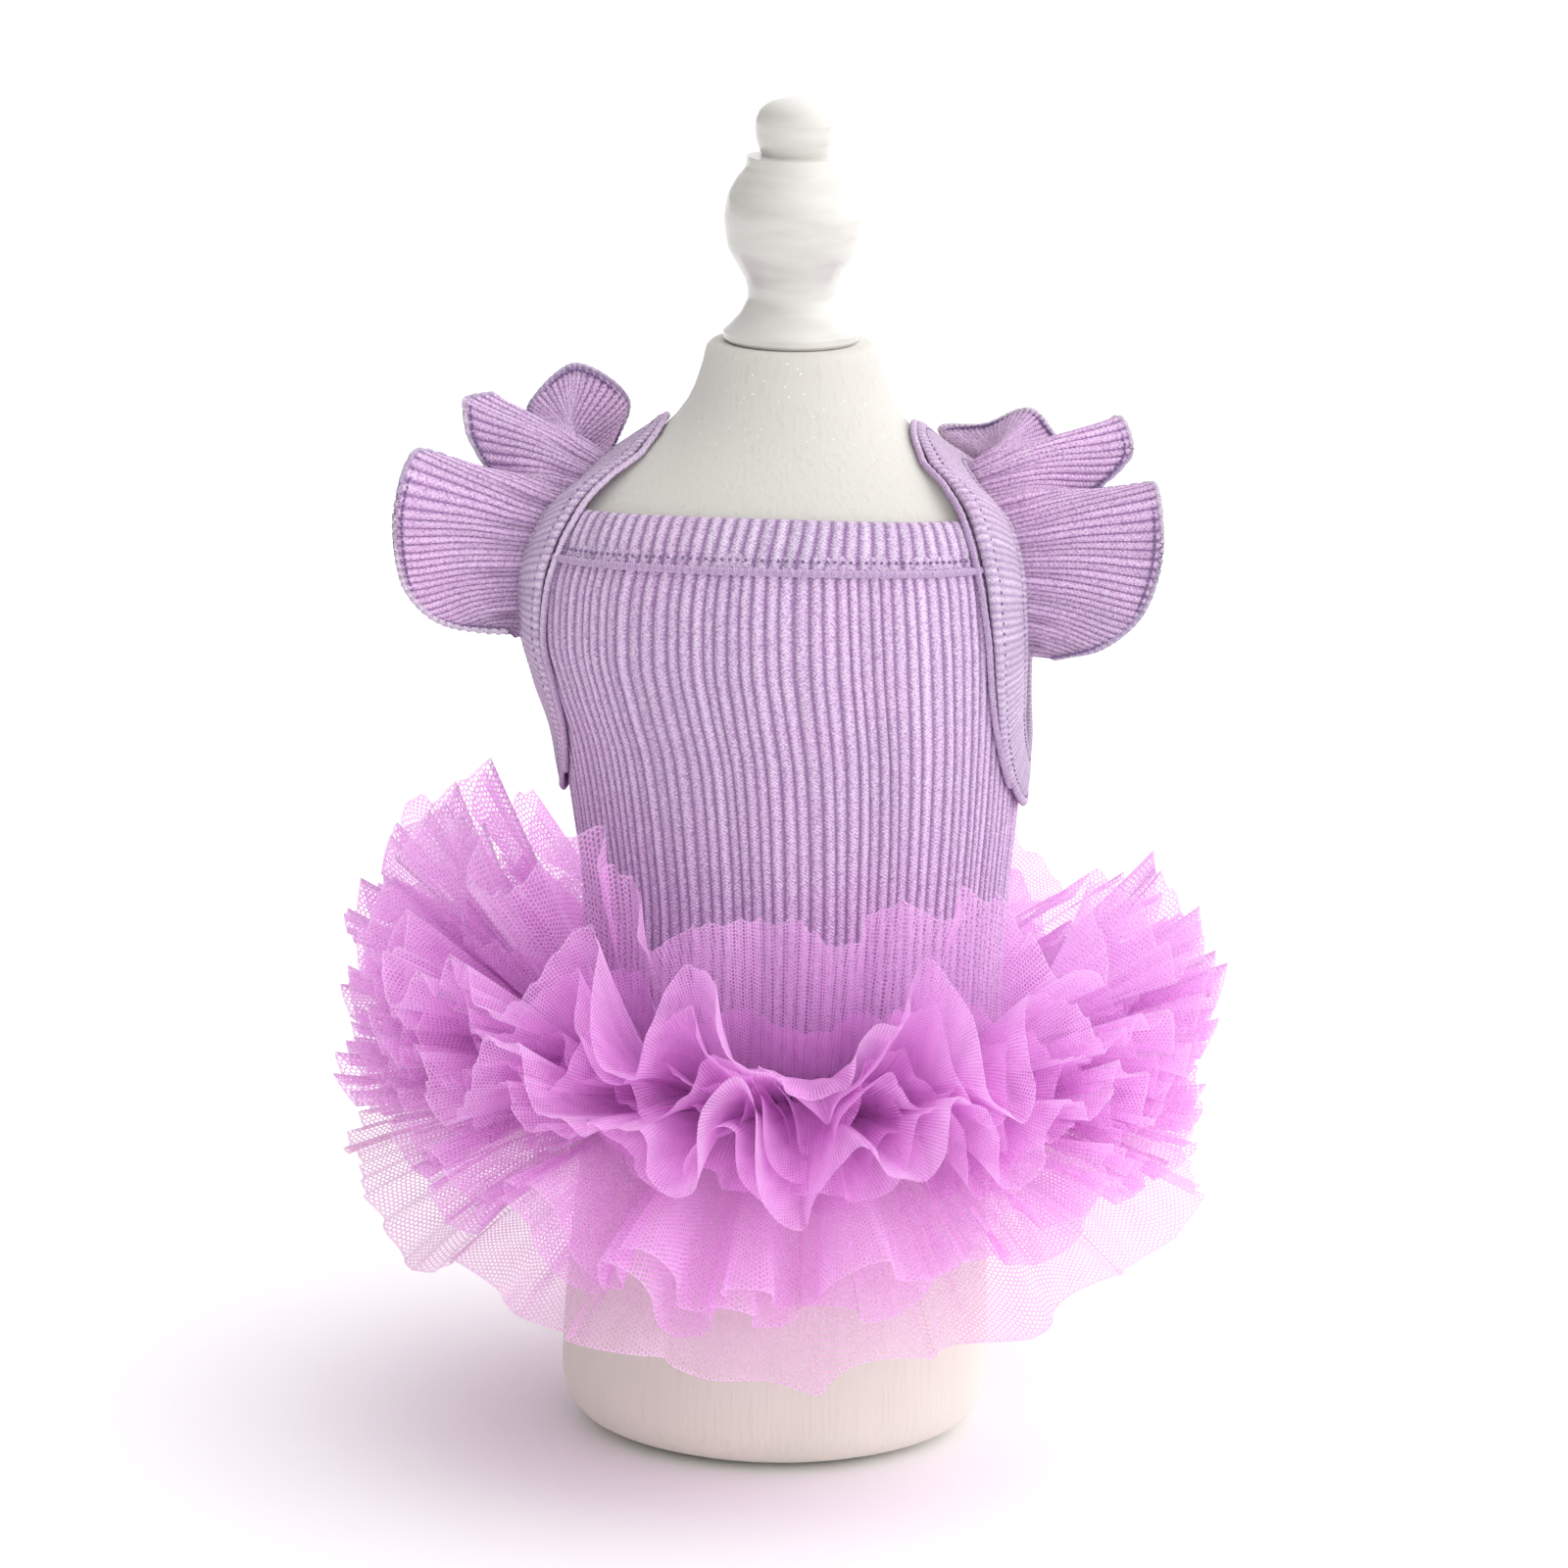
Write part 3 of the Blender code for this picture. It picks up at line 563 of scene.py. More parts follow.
band_knit = rib_knit("lilac_band_knit", (0.80, 0.63, 0.89), KNIT_GROOVE_SHADE, 0.9, 0.20)
# painted highlight: the rolled edges are the same knit in a paler copy, for the light that the raised roll
# catches
roll_knit = rib_knit("lilac_rolled_edge", (0.80, 0.62, 0.86), (0.50, 0.33, 0.58), 0.7, 0.35)
dark_thread = thread_finish("purple_thread", (0.30, 0.18, 0.42))
NECKBAND_FOLD = [  # the folded strip's section, from the outer lower edge over the fold to the inner one
    (10.6, 2.0), (9.6, 2.45), (8.4, 2.15), (7.6, 2.5), (5.0, 2.65), (2.4, 2.6), (1.0, 2.45),
    (0.25, 2.1), (0.0, 1.65), (0.25, 1.2), (1.0, 0.9), (3.0, 0.8), (6.0, 0.8), (10.2, 0.8)
]
for name, front, node in (("neckband_knit_front", 1, "neckband_front"),
                          ("neckband_knit_back", -1, "neckband_back")):
    columns = NECKBAND_RIBS * STEPS_PER_RIB + 1
    ribs = np.linspace(0, NECKBAND_RIBS, columns)
    drop, out = np.array(NECKBAND_FOLD).T
    outside = np.array([1.0 if n < 7 else 0.4 if n < 9 else 0.0 for n in range(len(drop))])
    relief = RIB_HEIGHT * rib_round(ribs)[:, None] * outside
    lean_over = 0.012 * (drop / NECKBAND)[None, :] * np.sin(2 * ribs / 9)[:, None]
    from_end = np.minimum(1, np.minimum(ribs, NECKBAND_RIBS - ribs))[:, None]
    share = (ribs / NECKBAND_RIBS)[:, None] + lean_over * from_end
    grid = band_point(front, np.clip(share, 0, 1), drop[None, :], out[None, :] + relief - 0.15)
    band = cloth(name, grid, ribs, lengths_along(grid[columns // 2]))
    wear(band, band_knit)
    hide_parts(node)
    share = np.linspace(0.004, 0.996, CORD_POINTS)
    line = band_point(front, share, CORD_AT, CORD_OVER)
    cord = rolled_edge(name.replace("knit", "roll"), line, 1.0, 0.12, 1.75)
    wear(cord, roll_knit)
    share = (np.arange(NECKBAND_STITCHES) + 0.5) / NECKBAND_STITCHES
    at = band_point(front, share, STITCHED_AT, STITCHED_OVER)
    along = band_point(front, share + 0.004, STITCHED_AT, STITCHED_OVER) - at
    outward = band_point(front, share, STITCHED_AT, STITCHED_OVER + 1) - at
    sewn = stitches(name.replace("knit", "stitches"), at, along, outward, 0.95, 0.36)
    wear(sewn, dark_thread)

# ---- The armhole bindings ------------------------------------------------------------------------
# A strip of knit folded round each armhole and topstitched along both edges. Above the neckband it
# is the shoulder strap, lying on the form. Its fine ribs run across the strip.

BINDING_WALL, CLEAR = 1.4, 0.5
STRAP_FROM, STRAP_TO = 240.0, 250.0
STRAP_WIDER = 0.55
OVER_KNIT = EASE + KNIT + RIB_HEIGHT + CLEAR


def armhole_point(side, turn, aside, out):
    """turn is 0 at the shoulder and grows to the front, aside runs from the binding's middle
    towards the neck, and out is the height off the form."""
    spread = aside * facing_sideways(side, turn)
    y = -(ARM_HALF_DEPTH + spread) * np.sin(turn)
    height = ARM_MIDDLE + (ARM_HALF_HEIGHT + spread) * np.cos(turn)
    return on_form(side_angle(side, y, height) + TWIST, height, out)


def binding_lift(turn):
    """The height of the strip's underside off the form: over the knit, and on the form as a strap."""
    height = ARM_MIDDLE + ARM_HALF_HEIGHT * np.cos(turn)
    share = np.clip((height - STRAP_FROM) / (STRAP_TO - STRAP_FROM), 0, 1)
    share = share * share * (3 - 2 * share)
    return OVER_KNIT + (EASE - OVER_KNIT) * share


BINDING_SECTION = [  # aside from the middle and height over the underside, round the folded strip
    (-0.4, 0.0), (-4.0, 0.05), (-5.9, 0.25), (-6.3, 0.8), (-6.1, 1.35), (-5.4, 1.7), (-4.7, 1.5),
    (-4.3, 1.2), (-3.8, 1.5), (-2.0, 1.75), (0.0, 1.85), (2.5, 1.80), (4.6, 1.65), (5.2, 1.35),
    (5.7, 1.6), (6.5, 1.9), (7.4, 1.5), (7.7, 1.0), (7.3, 0.6), (4.6, 0.3), (0.4, 0.0)
]
PUFF = {-1: 0.5, 1: 1.5}
PUFF_AT, PUFF_SPREAD, PUFF_OVER = 1.15, 0.65, 0.6
RIBS_ROUND, STEPS_PER_FINE_RIB = 150, 5
OUTER_LEAF = 0.9  # what lies higher than this in the section is the leaf that is seen
BINDING_STITCHES = 118


def puff(side, turn):
    """How much higher the padded fold stands over the front of the armhole."""
    return PUFF[side] * np.exp(-((turn - PUFF_AT) / PUFF_SPREAD) ** 2)


def widened(turn, aside):
    """The strip is wider over the shoulder, on the side of the neck."""
    from_shoulder = (turn - math.pi) % (2 * math.pi) - math.pi
    return aside * (1 + STRAP_WIDER * np.exp(-from_shoulder ** 2) * (aside > 0))


# painted light: the binding is the bodice's knit in a paler copy, for how brightly the strip is lit
binding_knit = rib_knit("lilac_binding_knit", (0.87, 0.69, 0.94), (0.50, 0.34, 0.60), 0.8, 0.15)
for side, word in ((-1, "left"), (1, "right")):
    columns = RIBS_ROUND * STEPS_PER_FINE_RIB
    turn = np.arange(columns) / columns * 2 * math.pi
    u = np.arange(columns + 1) / STEPS_PER_FINE_RIB
    aside, over = np.array(BINDING_SECTION).T
    relief = 0.16 * rib_round(u[:-1])[:, None] * (over > OUTER_LEAF)
    uneven = 0.12 * np.sin(7 * turn + side)[:, None] * (over > OUTER_LEAF)
    puffed = puff(side, turn)[:, None] * np.clip(over - PUFF_OVER, 0, 1.2)[None, :]
    lift = binding_lift(turn)[:, None] + over[None, :] + relief + uneven + puffed
    grid = armhole_point(side, turn[:, None], widened(turn[:, None], aside[None, :]), lift)
    strip = cloth(f"binding_{word}", grid, u, lengths_along(grid[0]), closed=True, flip=side > 0)
    wear(strip, binding_knit)
    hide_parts(f"armhole_binding_{word}")
    long_way = float(lengths_along(armhole_point(side, np.linspace(0, 2 * math.pi, 200), 0.0, 4.0))[-1])
    rows = []
    t = np.arange(BINDING_STITCHES) / BINDING_STITCHES * 2 * math.pi
    for aside_row, above in ((-4.3, 1.38), (5.2, 1.5)):
        lift = binding_lift(t) + above + puff(side, t) * (above - PUFF_OVER)
        beside = widened(t, aside_row)
        at = armhole_point(side, t, beside, lift)
        along = armhole_point(side, t + 0.01, beside, lift) - at
        outward = armhole_point(side, t, beside, lift + 1) - at
        rows.append((at, along, outward))
    at, along, outward = (np.concatenate(parts) for parts in zip(*rows))
    # the strip's inner leaf shows as a thin roll beside the front of the fold
    t = np.linspace(-0.35, 2.55, 300)
    beside = widened(t, 7.4 + 1.5 * np.sin((t + 0.35) / 2.9 * math.pi))
    line = armhole_point(side, t, beside, binding_lift(t) + 0.55 + 0.15 * np.sin(9 * t))
    roll = rolled_edge(f"binding_roll_{word}", line, 0.85, 0.08, 2.1)
    wear(roll, roll_knit)
    sewn = stitches(f"binding_stitches_{word}", at, along, outward, 0.9, 0.32)
    wear(sewn, dark_thread)

# ---- The flutter sleeves -------------------------------------------------------------------------
# Shaped strips of rib knit gathered tightly into the bindings, so that they stand off the shoulders in
# deep flutes. The free edge is overlocked: a thin rolled lip with a line of darker thread inside it.

FLUTTER_SPACE, FLUTTER_WALL = 1.0, 0.55
FLUTTER_BOW, FLUTTER_LEAN = 0.7, 15.0
FLUTTER_RIBS, STEPS_PER_FLUTTER_RIB, FLUTTER_ROWS = 104, 6, 26
LIP_STITCH = 1.25
EdgePoint = namedtuple("EdgePoint", "turn x y z")
FLUTTER_EDGES = {side: [EdgePoint(*row) for row in rows] for side, rows in (
    (-1, [(100, -70, -14, 211), (86, -86, -20, 214), (72, -96, -21, 225), (58, -98, -19, 240),
          (46, -93, -13, 256), (32, -75, 1, 248), (24, -81, 1, 259), (18, -82, 3, 266),
          (11, -76, 7, 267), (0, -68, 15, 257), (-16, -66, 20, 262), (-34, -55, 25, 272),
          (-52, -42, 32, 261), (-68, -46, 40, 247), (-85, -62, 40, 232), (-100, -71, 24, 213)]),
    (1, [(100, 67, -22, 208), (86, 79, -26, 212), (72, 89, -26, 222), (58, 93, -22, 238),
         (46, 91, -16, 251), (33, 77, -3, 247), (22, 86, 0, 257), (14, 83, 4, 264),
         (4, 72, 13, 255), (-16, 61, 18, 263), (-32, 50, 27, 258), (-50, 39, 31, 256),
         (-66, 48, 38, 244), (-84, 61, 34, 230), (-100, 67, 18, 212)]),
)}


def flutter(side, along, across):
    """The sleeve's middle surface: along from its front end over the shoulder to its back end, and
    across from the seam to the free edge."""
    edge = FLUTTER_EDGES[side]
    table = [(edge[0].turn - e.turn) / (edge[0].turn - edge[-1].turn) for e in edge]
    tip = np.stack([smooth(along, table, [getattr(e, axis) for e in edge]) for axis in "xyz"], -1)
    turn = np.radians(edge[0].turn + (edge[-1].turn - edge[0].turn) * along)
    at_seam = np.clip(1 - across * 8, 0, 1)
    aside = -(BINDING / 2 + 3 * SEAM + FLUTTER_SPACE / 2) + 1.2 * at_seam
    out = binding_lift(turn) + BINDING_WALL - 0.5 * at_seam
    seam = armhole_point(side, turn, aside, out)
    away = armhole_point(side, turn, aside, out + 1) - seam
    inward = armhole_point(side, turn, aside + 1, out) - seam
    reach = np.linalg.norm(tip - seam, axis=-1)
    lean = np.maximum(0, np.sum((tip - seam) * inward, -1))
    behind = np.clip((along - 0.58) / 0.14, 0, 1)
    bow = FLUTTER_BOW * reach * (1 + lean / FLUTTER_LEAN) * across * (1 - across) ** 2 * (1 - 0.65 * behind)
    return seam + across[..., None] * (tip - seam) + bow[..., None] * away


def grid_normals(grid):
    """The way a grid of points faces at each of them."""
    normal = np.cross(np.gradient(grid, axis=0), np.gradient(grid, axis=1))
    return normal / (np.linalg.norm(normal, axis=-1, keepdims=True) + 1e-9)


sleeve_knit = rib_knit("lilac_sleeve_knit", (0.87, 0.575, 0.93), (0.36, 0.17, 0.43), 0.9, 0.22)
pale_lip = rib_knit("lilac_overlocked_lip", (0.84, 0.72, 0.90), (0.60, 0.46, 0.70), 0.5, 0.5)
for side, word in ((-1, "left"), (1, "right")):
    columns = FLUTTER_RIBS * STEPS_PER_FLUTTER_RIB + 1
    along, across = np.meshgrid(np.linspace(0, 1, columns), np.linspace(0, 1, FLUTTER_ROWS), indexing="ij")
    ribs = np.linspace(0, FLUTTER_RIBS, columns)[:, None]
    middle = flutter(side, along, across)
    normal = grid_normals(middle)
    gathers = 0.75 * np.sin(2 * math.pi * ribs / 4.7 + side) + 0.4 * np.sin(2 * math.pi * ribs / 2.9)
    gathers = gathers * np.exp(-((across - 0.13) / 0.16) ** 2)
    waves = 0.5 * np.sin(ribs / 2.7 + 4 * across) * across
    relief = 0.42 * rib_round(ribs) * np.clip(across * 6, 0.25, 1)
    grid = middle + (gathers + waves + relief - 0.2)[..., None] * normal * side * -1
    sleeve = cloth(f"sleeve_{word}", grid, ribs[:, 0], lengths_along(grid[columns // 3]), flip=side < 0)
    thicken(sleeve, FLUTTER_WALL, 0.0)
    wear(sleeve, sleeve_knit)
    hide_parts(f"flutter_sleeve_{word}")
    rim = lengths_along(grid[:, -1])
    lip = rolled_edge(f"sleeve_lip_{word}", grid[::2, -1], 0.72, 0.10, 1.3)
    wear(lip, pale_lip)
    count = int(rim[-1] / LIP_STITCH)
    share = np.interp(np.linspace(0, rim[-1], count), rim, np.linspace(0, 1, columns))
    every_other = np.arange(count) % 2
    inset = 0.955 - 0.004 * every_other
    middle = flutter(side, share, inset)
    after, before = (flutter(side, np.clip(share + by, 0, 1), inset) for by in (0.002, -0.002))
    ahead = unit(after - before)
    outer = unit(flutter(side, share, inset + 0.02) - middle)
    up = unit(np.cross(ahead, outer))  # the same thread shows on both faces
    zigzag = ahead + 0.35 * np.where(every_other, 1, -1)[:, None] * outer
    at = np.concatenate([middle - 0.50 * up, middle + 0.50 * up])
    both_up = np.concatenate([-up, up])
    sewn = stitches(f"sleeve_thread_{word}", at, np.tile(zigzag, (2, 1)), both_up, 1.2, 0.27)
    wear(sewn, dark_thread)

# ---- The tulle tiers -----------------------------------------------------------------------------
# Each tier is two or four long strips of soft orchid tulle, folded along their length and gathered at
# the raw edges to the waist, so every ruffle ends in a fold. A strip's two leaves are drawn as one.
# Under them is one strip of paler, single net.

# lift and swing are in degrees and reach in mm, each for the front, left, back and right of the body.
Tier = namedtuple("Tier", "name seam_height waves phase lift swing reach")
TIERS = [Tier(*row) for row in (
    ("tulle_tier_1", 104.0, 16, 2.7, (64, 44, 30, 24), (15, 7, 9, 5), (46, 66, 62, 56)),
    ("tulle_tier_2", 99.5, 20, 0.4, (32, 28, 10, 13), (13, 6, 8.5, 4.5), (48, 64, 62, 56)),
    ("tulle_tier_3", 95.0, 22, 1.9, (4, 14, -8, 3), (12, 5.5, 8.5, 4.5), (50, 62, 60, 54)),
    ("tulle_tier_4", 90.5, 21, 4.0, (-22, 1, -27, -6), (10, 5, 7.5, 3.5), (54, 58, 58, 52)),
    ("underskirt_net", 86.0, 12, 5.2, (-47, -12, -45, -15), (5, 3, 5, 3), (60, 56, 60, 50)),
)]

# The strips of each tier: how much higher one stands in degrees, where its waves start, how far it
# reaches beside its tier, and whether it is of the sheerer tulle.
Ply = namedtuple("Ply", "letter lift phase reach sheer")
PLIES = {
    "tulle_tier_1": [("_a", 0.0, 0.0, 1.0, True), ("_b", -9.0, 1.5, 0.66, False)],
    "tulle_tier_2": [("_a", 3.0, 0.14, 1.0, False), ("_b", -3.0, 1.2, 0.88, False),
                     ("_c", -12.0, 2.6, 0.70, False), ("_d", -19.0, 4.1, 0.82, False)],
    "tulle_tier_3": [("_a", 3.0, 0.14, 1.0, False), ("_b", -4.0, 1.4, 0.86, False),
                     ("_c", -14.0, 2.9, 0.66, False), ("_d", 13.0, 4.4, 0.62, False)],
    "tulle_tier_4": [("_a", 3.0, 0.14, 0.97, True), ("_b", -5.0, 1.4, 1.0, True)],
    "underskirt_net": [("_a", 0.0, 0.0, 1.0, True)],
}

UNEVEN, SHALLOWEST, DROOP = 0.45, 0.72, 6.0
FOLD_BACK, CURL = 0.75, 0.7  # how far the folds lean over, and how much further at their edge
HUG = 9.0  # how much steeper the top ruffle stands up in front, against the bodice
GATHERS, GATHER_DEPTH = 96, 1.1  # tight gathers along the seam
UP = np.array([0.0, 0.0, 1.0])

# Where the layers stand up or are pushed down, listed one by one: the last letters of the tiers it
# moves, where it is and how wide in degrees, how far it lifts the edge in degrees, and how much longer
# the reach is there.
Crease = namedtuple("Crease", "tiers angle width lift reach")
CREASES = [Crease(*row) for row in (
    ("1", -155, 9, 14, 0.06), ("1", -133, 7, 13, 0.16), ("12", -117, 5, -9, -0.10),
    ("1", -103, 7, 4, 0.02), ("2", -104, 7, 12, 0.06), ("23", -127, 7, 10, 0.04),
    ("234", -86, 6, -25, -0.16), ("2", -73, 7, 13, 0.02), ("34", -72, 8, 7, 0.0),
    ("1", -56, 10, 5, 0.22), ("23", -57, 6, -8, 0.0), ("234", -44, 8, 9, 0.04), ("1", -28, 8, 20, 0.12),
    ("234", -24, 7, -7, 0.0), ("1234", -8, 7, 6, 0.03), ("1", 14, 8, 16, 0.05), ("234", 22, 8, 7, 0.04),
    ("1234", 44, 7, -8, -0.05), ("1234", 62, 8, 9, 0.05), ("1234", 84, 8, -8, -0.06),
    ("1234", 105, 8, 10, 0.05), ("1234", 126, 7, -7, 0.0), ("1234", 147, 8, 10, 0.04),
    ("1", 168, 7, 13, 0.05), ("1", -124, 3.5, 17, 0.06), ("2", -120, 4, 12, 0.10),
    ("12", -66, 3, 9, 0.04), ("3", -97, 5, 15, 0.0), ("4", -101, 15, -13, 0.03),
    ("4", -70, 11, -8, 0.0), ("3", -101, 9, -7, 0.04), ("34", -158, 22, 4, -0.09),
    ("34", -20, 20, 4, -0.07), ("t", -160, 26, -2, 0.06), ("t", -22, 26, -2, 0.10),
    ("t", -90, 30, 0, 0.03), ("234", 165, 8, -7, 0.0), ("1234", -174, 7, 6, 0.05),
    ("34", -147, 8, -8, 0.0)
)]


def round_value(values, angle):
    """Blends the values for the four sides round the body."""
    front, left, back, right = values
    c, s = np.cos(angle), np.sin(angle)
    return (front * np.maximum(0, -s) ** 2 + back * np.maximum(0, s) ** 2
            + left * np.maximum(0, -c) ** 2 + right * np.maximum(0, c) ** 2)


def creased(tier, angle):
    """How far the creases placed by hand lift and lengthen a tier at an angle."""
    lift, reach = 0 * angle, 0 * angle
    for crease in CREASES:
        if tier.name[-1] in crease.tiers:
            off = (np.degrees(angle) - crease.angle + 180) % 360 - 180
            near = np.exp(-(off / crease.width) ** 2)
            lift, reach = lift + crease.lift * near, reach + crease.reach * near
    return lift, reach


def sharp_wave(turn):
    return np.arcsin(0.97 * np.sin(turn))


def ruffle(tier, ply, angle, across, pleating):
    """A ruffle's surface. across runs 0 to 1 from the seam to the fold at its free edge."""
    def swell(turns, shift):
        return np.sin(turns * angle + shift * tier.phase)

    crowding = (swell(2, 1) + swell(5, 2) + 1.3 * np.sin(3 * angle + 1.3 * tier.phase + 1)
                + swell(7, 3))
    wave = tier.waves * angle + tier.phase + UNEVEN * crowding + ply.phase
    size = 1 - (1 - SHALLOWEST) * (0.5 + 0.5 * swell(3, 1))
    size = size * (1 + 0.30 * swell(6, 2) + 0.25 * swell(11, 1))
    in_front = np.maximum(0, -np.sin(angle)) ** 4 if tier.name == "tulle_tier_1" else 0 * angle
    beside = np.cos(angle) ** 2
    curl = FOLD_BACK + CURL * (0.6 + 0.4 * swell(4, 2.1)) * across
    leaning = angle - curl * (1 - 0.8 * beside) / tier.waves * np.sin(2 * wave) * across
    drift = 2.8 * swell(5, 1) + 1.9 * swell(13, 2)
    pleat = sharp_wave(4 * tier.waves * angle + drift) * (1 + 0.5 * swell(9, 1))
    pleat = pleat + 0.5 * sharp_wave(7 * tier.waves * angle - 1.4 * drift)
    pleat = pleating * (0.35 + beside) * pleat
    stand, longer = creased(tier, angle)
    lift = (round_value(tier.lift, angle) + HUG * in_front + stand * across
            + round_value(tier.swing, angle) * size * (1 - 0.62 * in_front) * np.sin(wave)
            + DROOP * (1 - across) + ply.lift + pleat * (0.45 + 0.55 * across))
    lift = np.radians(lift)
    ragged = 1 + longer + 0.03 * swell(11, 1) + 0.025 * swell(23, 2)
    shorter = 1 - 0.35 * in_front * (ply.reach < 0.8)
    reach = round_value(tier.reach, angle) * across * ply.reach * shorter * (ragged + 0.012 * pleat)
    seam = on_form(angle, tier.seam_height, OVER_KNIT + SEAM + 0.5 - 1.7 * np.exp(-across / 0.04))
    outward = np.stack([np.cos(leaning), np.sin(leaning), 0 * leaning], -1)
    gather = GATHER_DEPTH * np.arcsin(np.sin(GATHERS * angle + ply.phase)) * np.exp(-across / 0.16)
    rise = reach * np.sin(lift) + gather
    return seam + (reach * np.cos(lift))[..., None] * outward + rise[..., None] * UP


# A hexagonal net of fine threads. The mask is 1 on a thread and 0 in a hole, and the moire of two
# leaves that lie together opens and closes the holes in slow bands.
hex_net, into, out_of = node_group(
    "hex_net", [("Vector", "Vector", None), ("Float", "Pitch", 1.3), ("Float", "Hole", 0.2),
                ("Float", "Moire", 0.0)],
    [("Float", "Thread")])
net_math = partial(math_node, hex_net)
apart = put(hex_net, "SeparateXYZ", [(0, into["Vector"])]).outputs
tau = 2 * math.pi
x, y = (net_math("DIVIDE", times(hex_net, way, turns), into["Pitch"])
        for way, turns in ((apart[0], tau), (apart[1], tau * math.sqrt(3) / 2)))
half_x = times(hex_net, x, 0.5)
slants = [net_math("COSINE", net_math(sign, half_x, y)) for sign in ("ADD", "SUBTRACT")]
field = net_math("ADD", net_math("COSINE", x), net_math("ADD", *slants))
slow = net_math("MULTIPLY_ADD", apart[0], 0.55, times(hex_net, apart[1], 0.35))
hole = net_math("MULTIPLY_ADD", net_math("COSINE", slow), into["Moire"], into["Hole"])
hex_net.links.new(ramp(hex_net, net_math("SUBTRACT", field, hole), 0.35, -0.35), out_of["Thread"])


def net_finish(name, thread, pitch, hole, haze, moire):
    """Sheer net: threads that scatter and pass light, and holes that show what lies behind and close
    up where the net is seen from the side. It is dense at the fold and along its pressed marks. Its colour
    is painted paler, as a painted sheen, where the net is seen from the side and along the fold."""
    made, tree, shader = new_material(name, 0.6, Specular_IOR_Level=0.0)
    cut = put(tree, "UVMap", uv_map="cut").outputs[0]
    closing_and_sheen = math_node(tree, "POWER", put(tree, "LayerWeight", [("Blend", 0.5)]).outputs["Facing"], 2.2)
    closed = math_node(tree, "MULTIPLY_ADD", closing_and_sheen, 2.0, hole)
    net = put(tree, "Group", [("Vector", cut), ("Pitch", pitch), ("Hole", closed), ("Moire", moire)],
              node_tree=hex_net)
    from_edge = put(tree, "Attribute", attribute_name="edge").outputs["Fac"]
    pressed = put(tree, "Attribute", attribute_name="pressed").outputs["Fac"]
    # painted sheen: the thread colour turns paler where the net is seen side on and along its folded edge
    pale = times(tree, math_node(tree, "MAXIMUM", from_edge, closing_and_sheen), 0.5)
    colour = mix_colour(tree, pale, thread, (0.95, 0.72, 0.95))
    colour = mix_colour(tree, pressed, colour, (0.90, 0.42, 0.86))
    tree.links.new(colour, shader.inputs["Base Color"])
    cover = times(tree, net.outputs["Thread"], 0.92)
    hazy = math_node(tree, "MULTIPLY_ADD", closing_and_sheen, 0.35, haze)
    for more in (hazy, times(tree, from_edge, 0.8), pressed):
        cover = math_node(tree, "MAXIMUM", cover, more)
    through = put(tree, "BsdfTranslucent")
    tree.links.new(colour, through.inputs["Color"])
    body = put(tree, "MixShader", [(0, 0.5), (1, shader.outputs[0]), (2, through.outputs[0])])
    clear = put(tree, "BsdfTransparent")
    mixed = put(tree, "MixShader", [(0, cover), (1, clear.outputs[0]), (2, body.outputs[0])])
    tree.links.new(mixed.outputs[0], tree.nodes["Material Output"].inputs["Surface"])
    return made


tulle = net_finish("orchid_tulle", (0.94, 0.505, 0.92), 1.0, -0.22, 0.14, 0.45)
veil = net_finish("sheer_tulle", (0.97, 0.54, 0.95), 1.2, -0.60, 0.13, 0.12)
net = net_finish("pale_net", (0.92, 0.59, 0.84), 1.05, -0.44, 0.18, 0.12)
ROWS_AT = np.array([0.0, 0.05, 0.11, 0.18, 0.26, 0.35, 0.45, 0.55, 0.65, 0.74, 0.82, 0.89, 0.945, 0.98, 1.0])


def lengths_round(ring):
    return lengths_along(np.concatenate([ring, ring[:1]]))


def mark(piece, name, values):
    """Gives every point of a piece a number for its material to read."""
    piece.data.attributes.new(name, "FLOAT", "POINT").data.foreach_set("value", values)


for tier in TIERS:
    lower = tier.name == "underskirt_net"
    for ply in (Ply(*row) for row in PLIES[tier.name]):
        columns = tier.waves * (50 if lower else 30)
        turn = np.arange(columns)[:, None] * (2 * math.pi / columns)
        angle, across = np.broadcast_arrays(turn, ROWS_AT[None, :])
        grid = ruffle(tier, ply, angle, across, 0.8 if lower else 1.7)
        v = lengths_along(grid[columns // 7])
        piece = cloth(tier.name + "_ruffle" + ply.letter, grid, lengths_round(grid[:, -1]), v,
                      closed=True, flip=True)
        mark(piece, "edge", np.tile(ROWS_AT == 1.0, columns).astype(float))
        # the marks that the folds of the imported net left, running out from the seam
        wandering = 2.6 * np.sin(4 * angle + tier.phase) + 1.3 * np.sin(9 * angle)
        marks = np.sin(17 * angle + wandering + ply.phase)
        marks = np.exp(-(marks / 0.20) ** 2) * (0.5 + 0.5 * np.sin(7 * angle + 2 * tier.phase + ply.phase))
        marks = marks * np.clip(1.5 - np.abs(across - 0.62) / 0.38, 0, 1) * (0.62 if lower else 0.45)
        mark(piece, "pressed", marks.ravel())
        piece.data.materials.append(net if lower else veil if ply.sheer else tulle)
        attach(piece, "root")
        if ply.letter == "_a":
            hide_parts(tier.name)
        strip = np.mean([lengths_round(row)[-1] for row in grid.transpose(1, 0, 2)])

# ---- Floor, light and camera ---------------------------------------------------------------------
# A seamless white surface in a white room that lights it softly from all round, seen through a long
# lens from a little above.

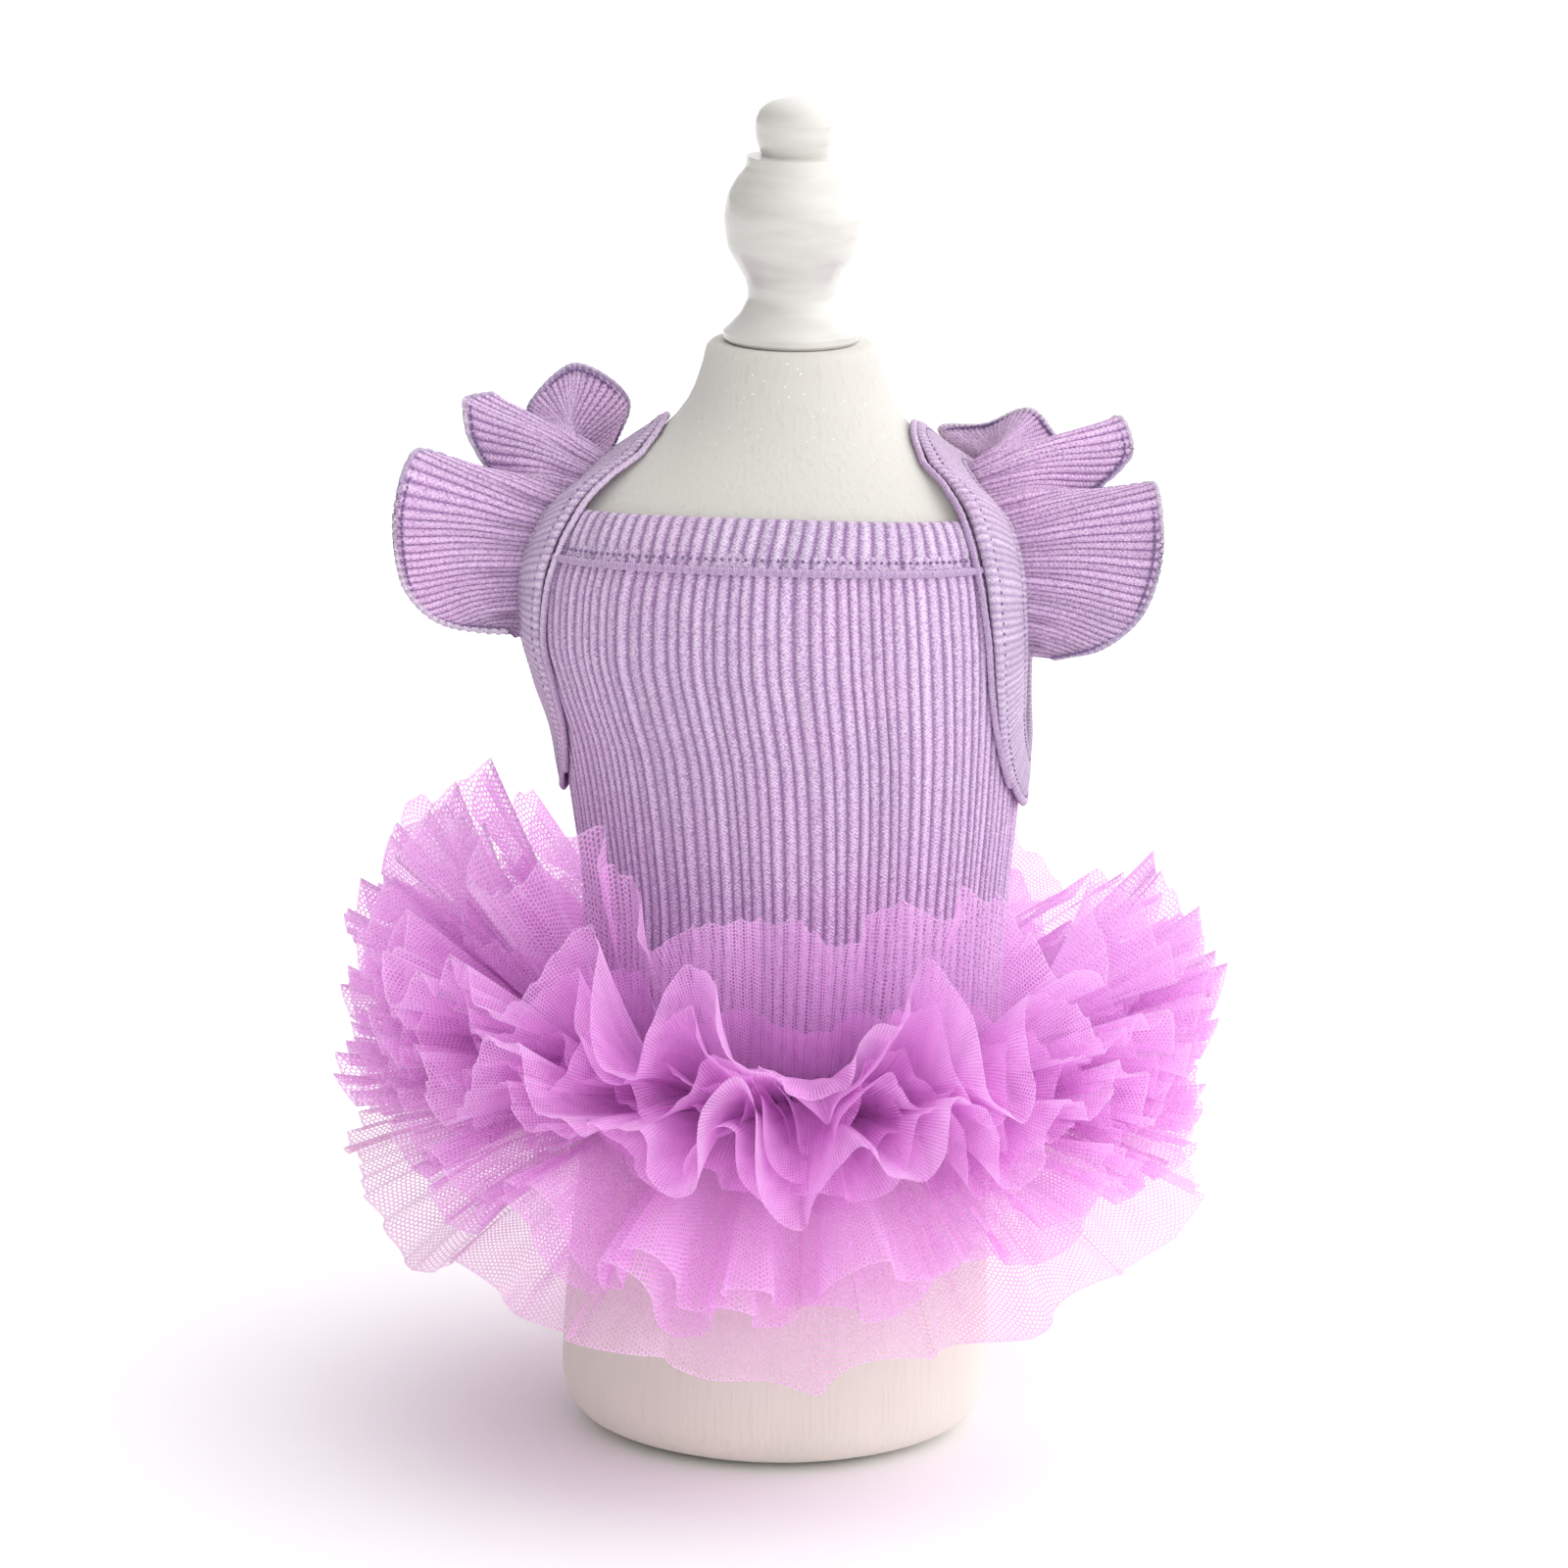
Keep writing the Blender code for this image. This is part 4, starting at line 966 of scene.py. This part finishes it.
FLOOR_SIZE, FLOOR_DROP = 60.0, 0.0005
bpy.ops.object.select_all(action="DESELECT")
bpy.ops.mesh.primitive_plane_add(size=FLOOR_SIZE, location=(0, 0, -FLOOR_DROP))
floor = bpy.context.object
floor.name = "floor"
bpy.ops.object.transform_apply()
white, tree, shader = new_material("white_surface", 0.9)
faint = mix_colour(tree, noise(tree, 3.0, 2.0), (0.97, 0.97, 0.97), (0.95, 0.95, 0.95))
tree.links.new(faint, shader.inputs["Base Color"])
floor.data.materials.append(white)

scene = bpy.context.scene
scene.view_settings.view_transform = "Standard"
scene.cycles.transparent_max_bounces = 24
scene.cycles.max_bounces, scene.cycles.diffuse_bounces = 6, 4
world = bpy.data.worlds.new("white_room")
scene.world = world
world.use_nodes = True
tree = world.node_tree
background = tree.nodes["Background"]
background.inputs["Color"].default_value = (1.0, 1.0, 1.0, 1.0)
world.cycles.sampling_method = "NONE"
# the room is brighter on the right, behind and above, and dimmer on the left
ROOM, BRIGHTER, DIMMEST = 1.02, (1.15, 0.05, 0.40), 0.35
way = put(tree, "SeparateXYZ", [(0, put(tree, "TexCoord").outputs["Generated"])]).outputs
room = ROOM
for axis, by in enumerate(BRIGHTER):
    room = math_node(tree, "MULTIPLY_ADD", way[axis], by, room)
tree.links.new(math_node(tree, "MAXIMUM", room, DIMMEST), background.inputs["Strength"])

DISTANCE, ELEVATION, TARGET_HEIGHT, ROLL = 1.5, math.radians(14.0), 0.169, math.radians(0.93)
LENS, SENSOR = 135.0, 36.0
camera = bpy.data.cameras.new("camera")
camera.lens, camera.sensor_width = LENS, SENSOR
viewer = bpy.data.objects.new("camera", camera)
scene.collection.objects.link(viewer)
stand = (0.0, -DISTANCE * math.cos(ELEVATION), TARGET_HEIGHT + DISTANCE * math.sin(ELEVATION))
viewer.matrix_world = (Matrix.Translation(stand) @ Matrix.Rotation(math.pi / 2 - ELEVATION, 4, "X")
                       @ Matrix.Rotation(ROLL, 4, "Z"))
scene.camera = viewer
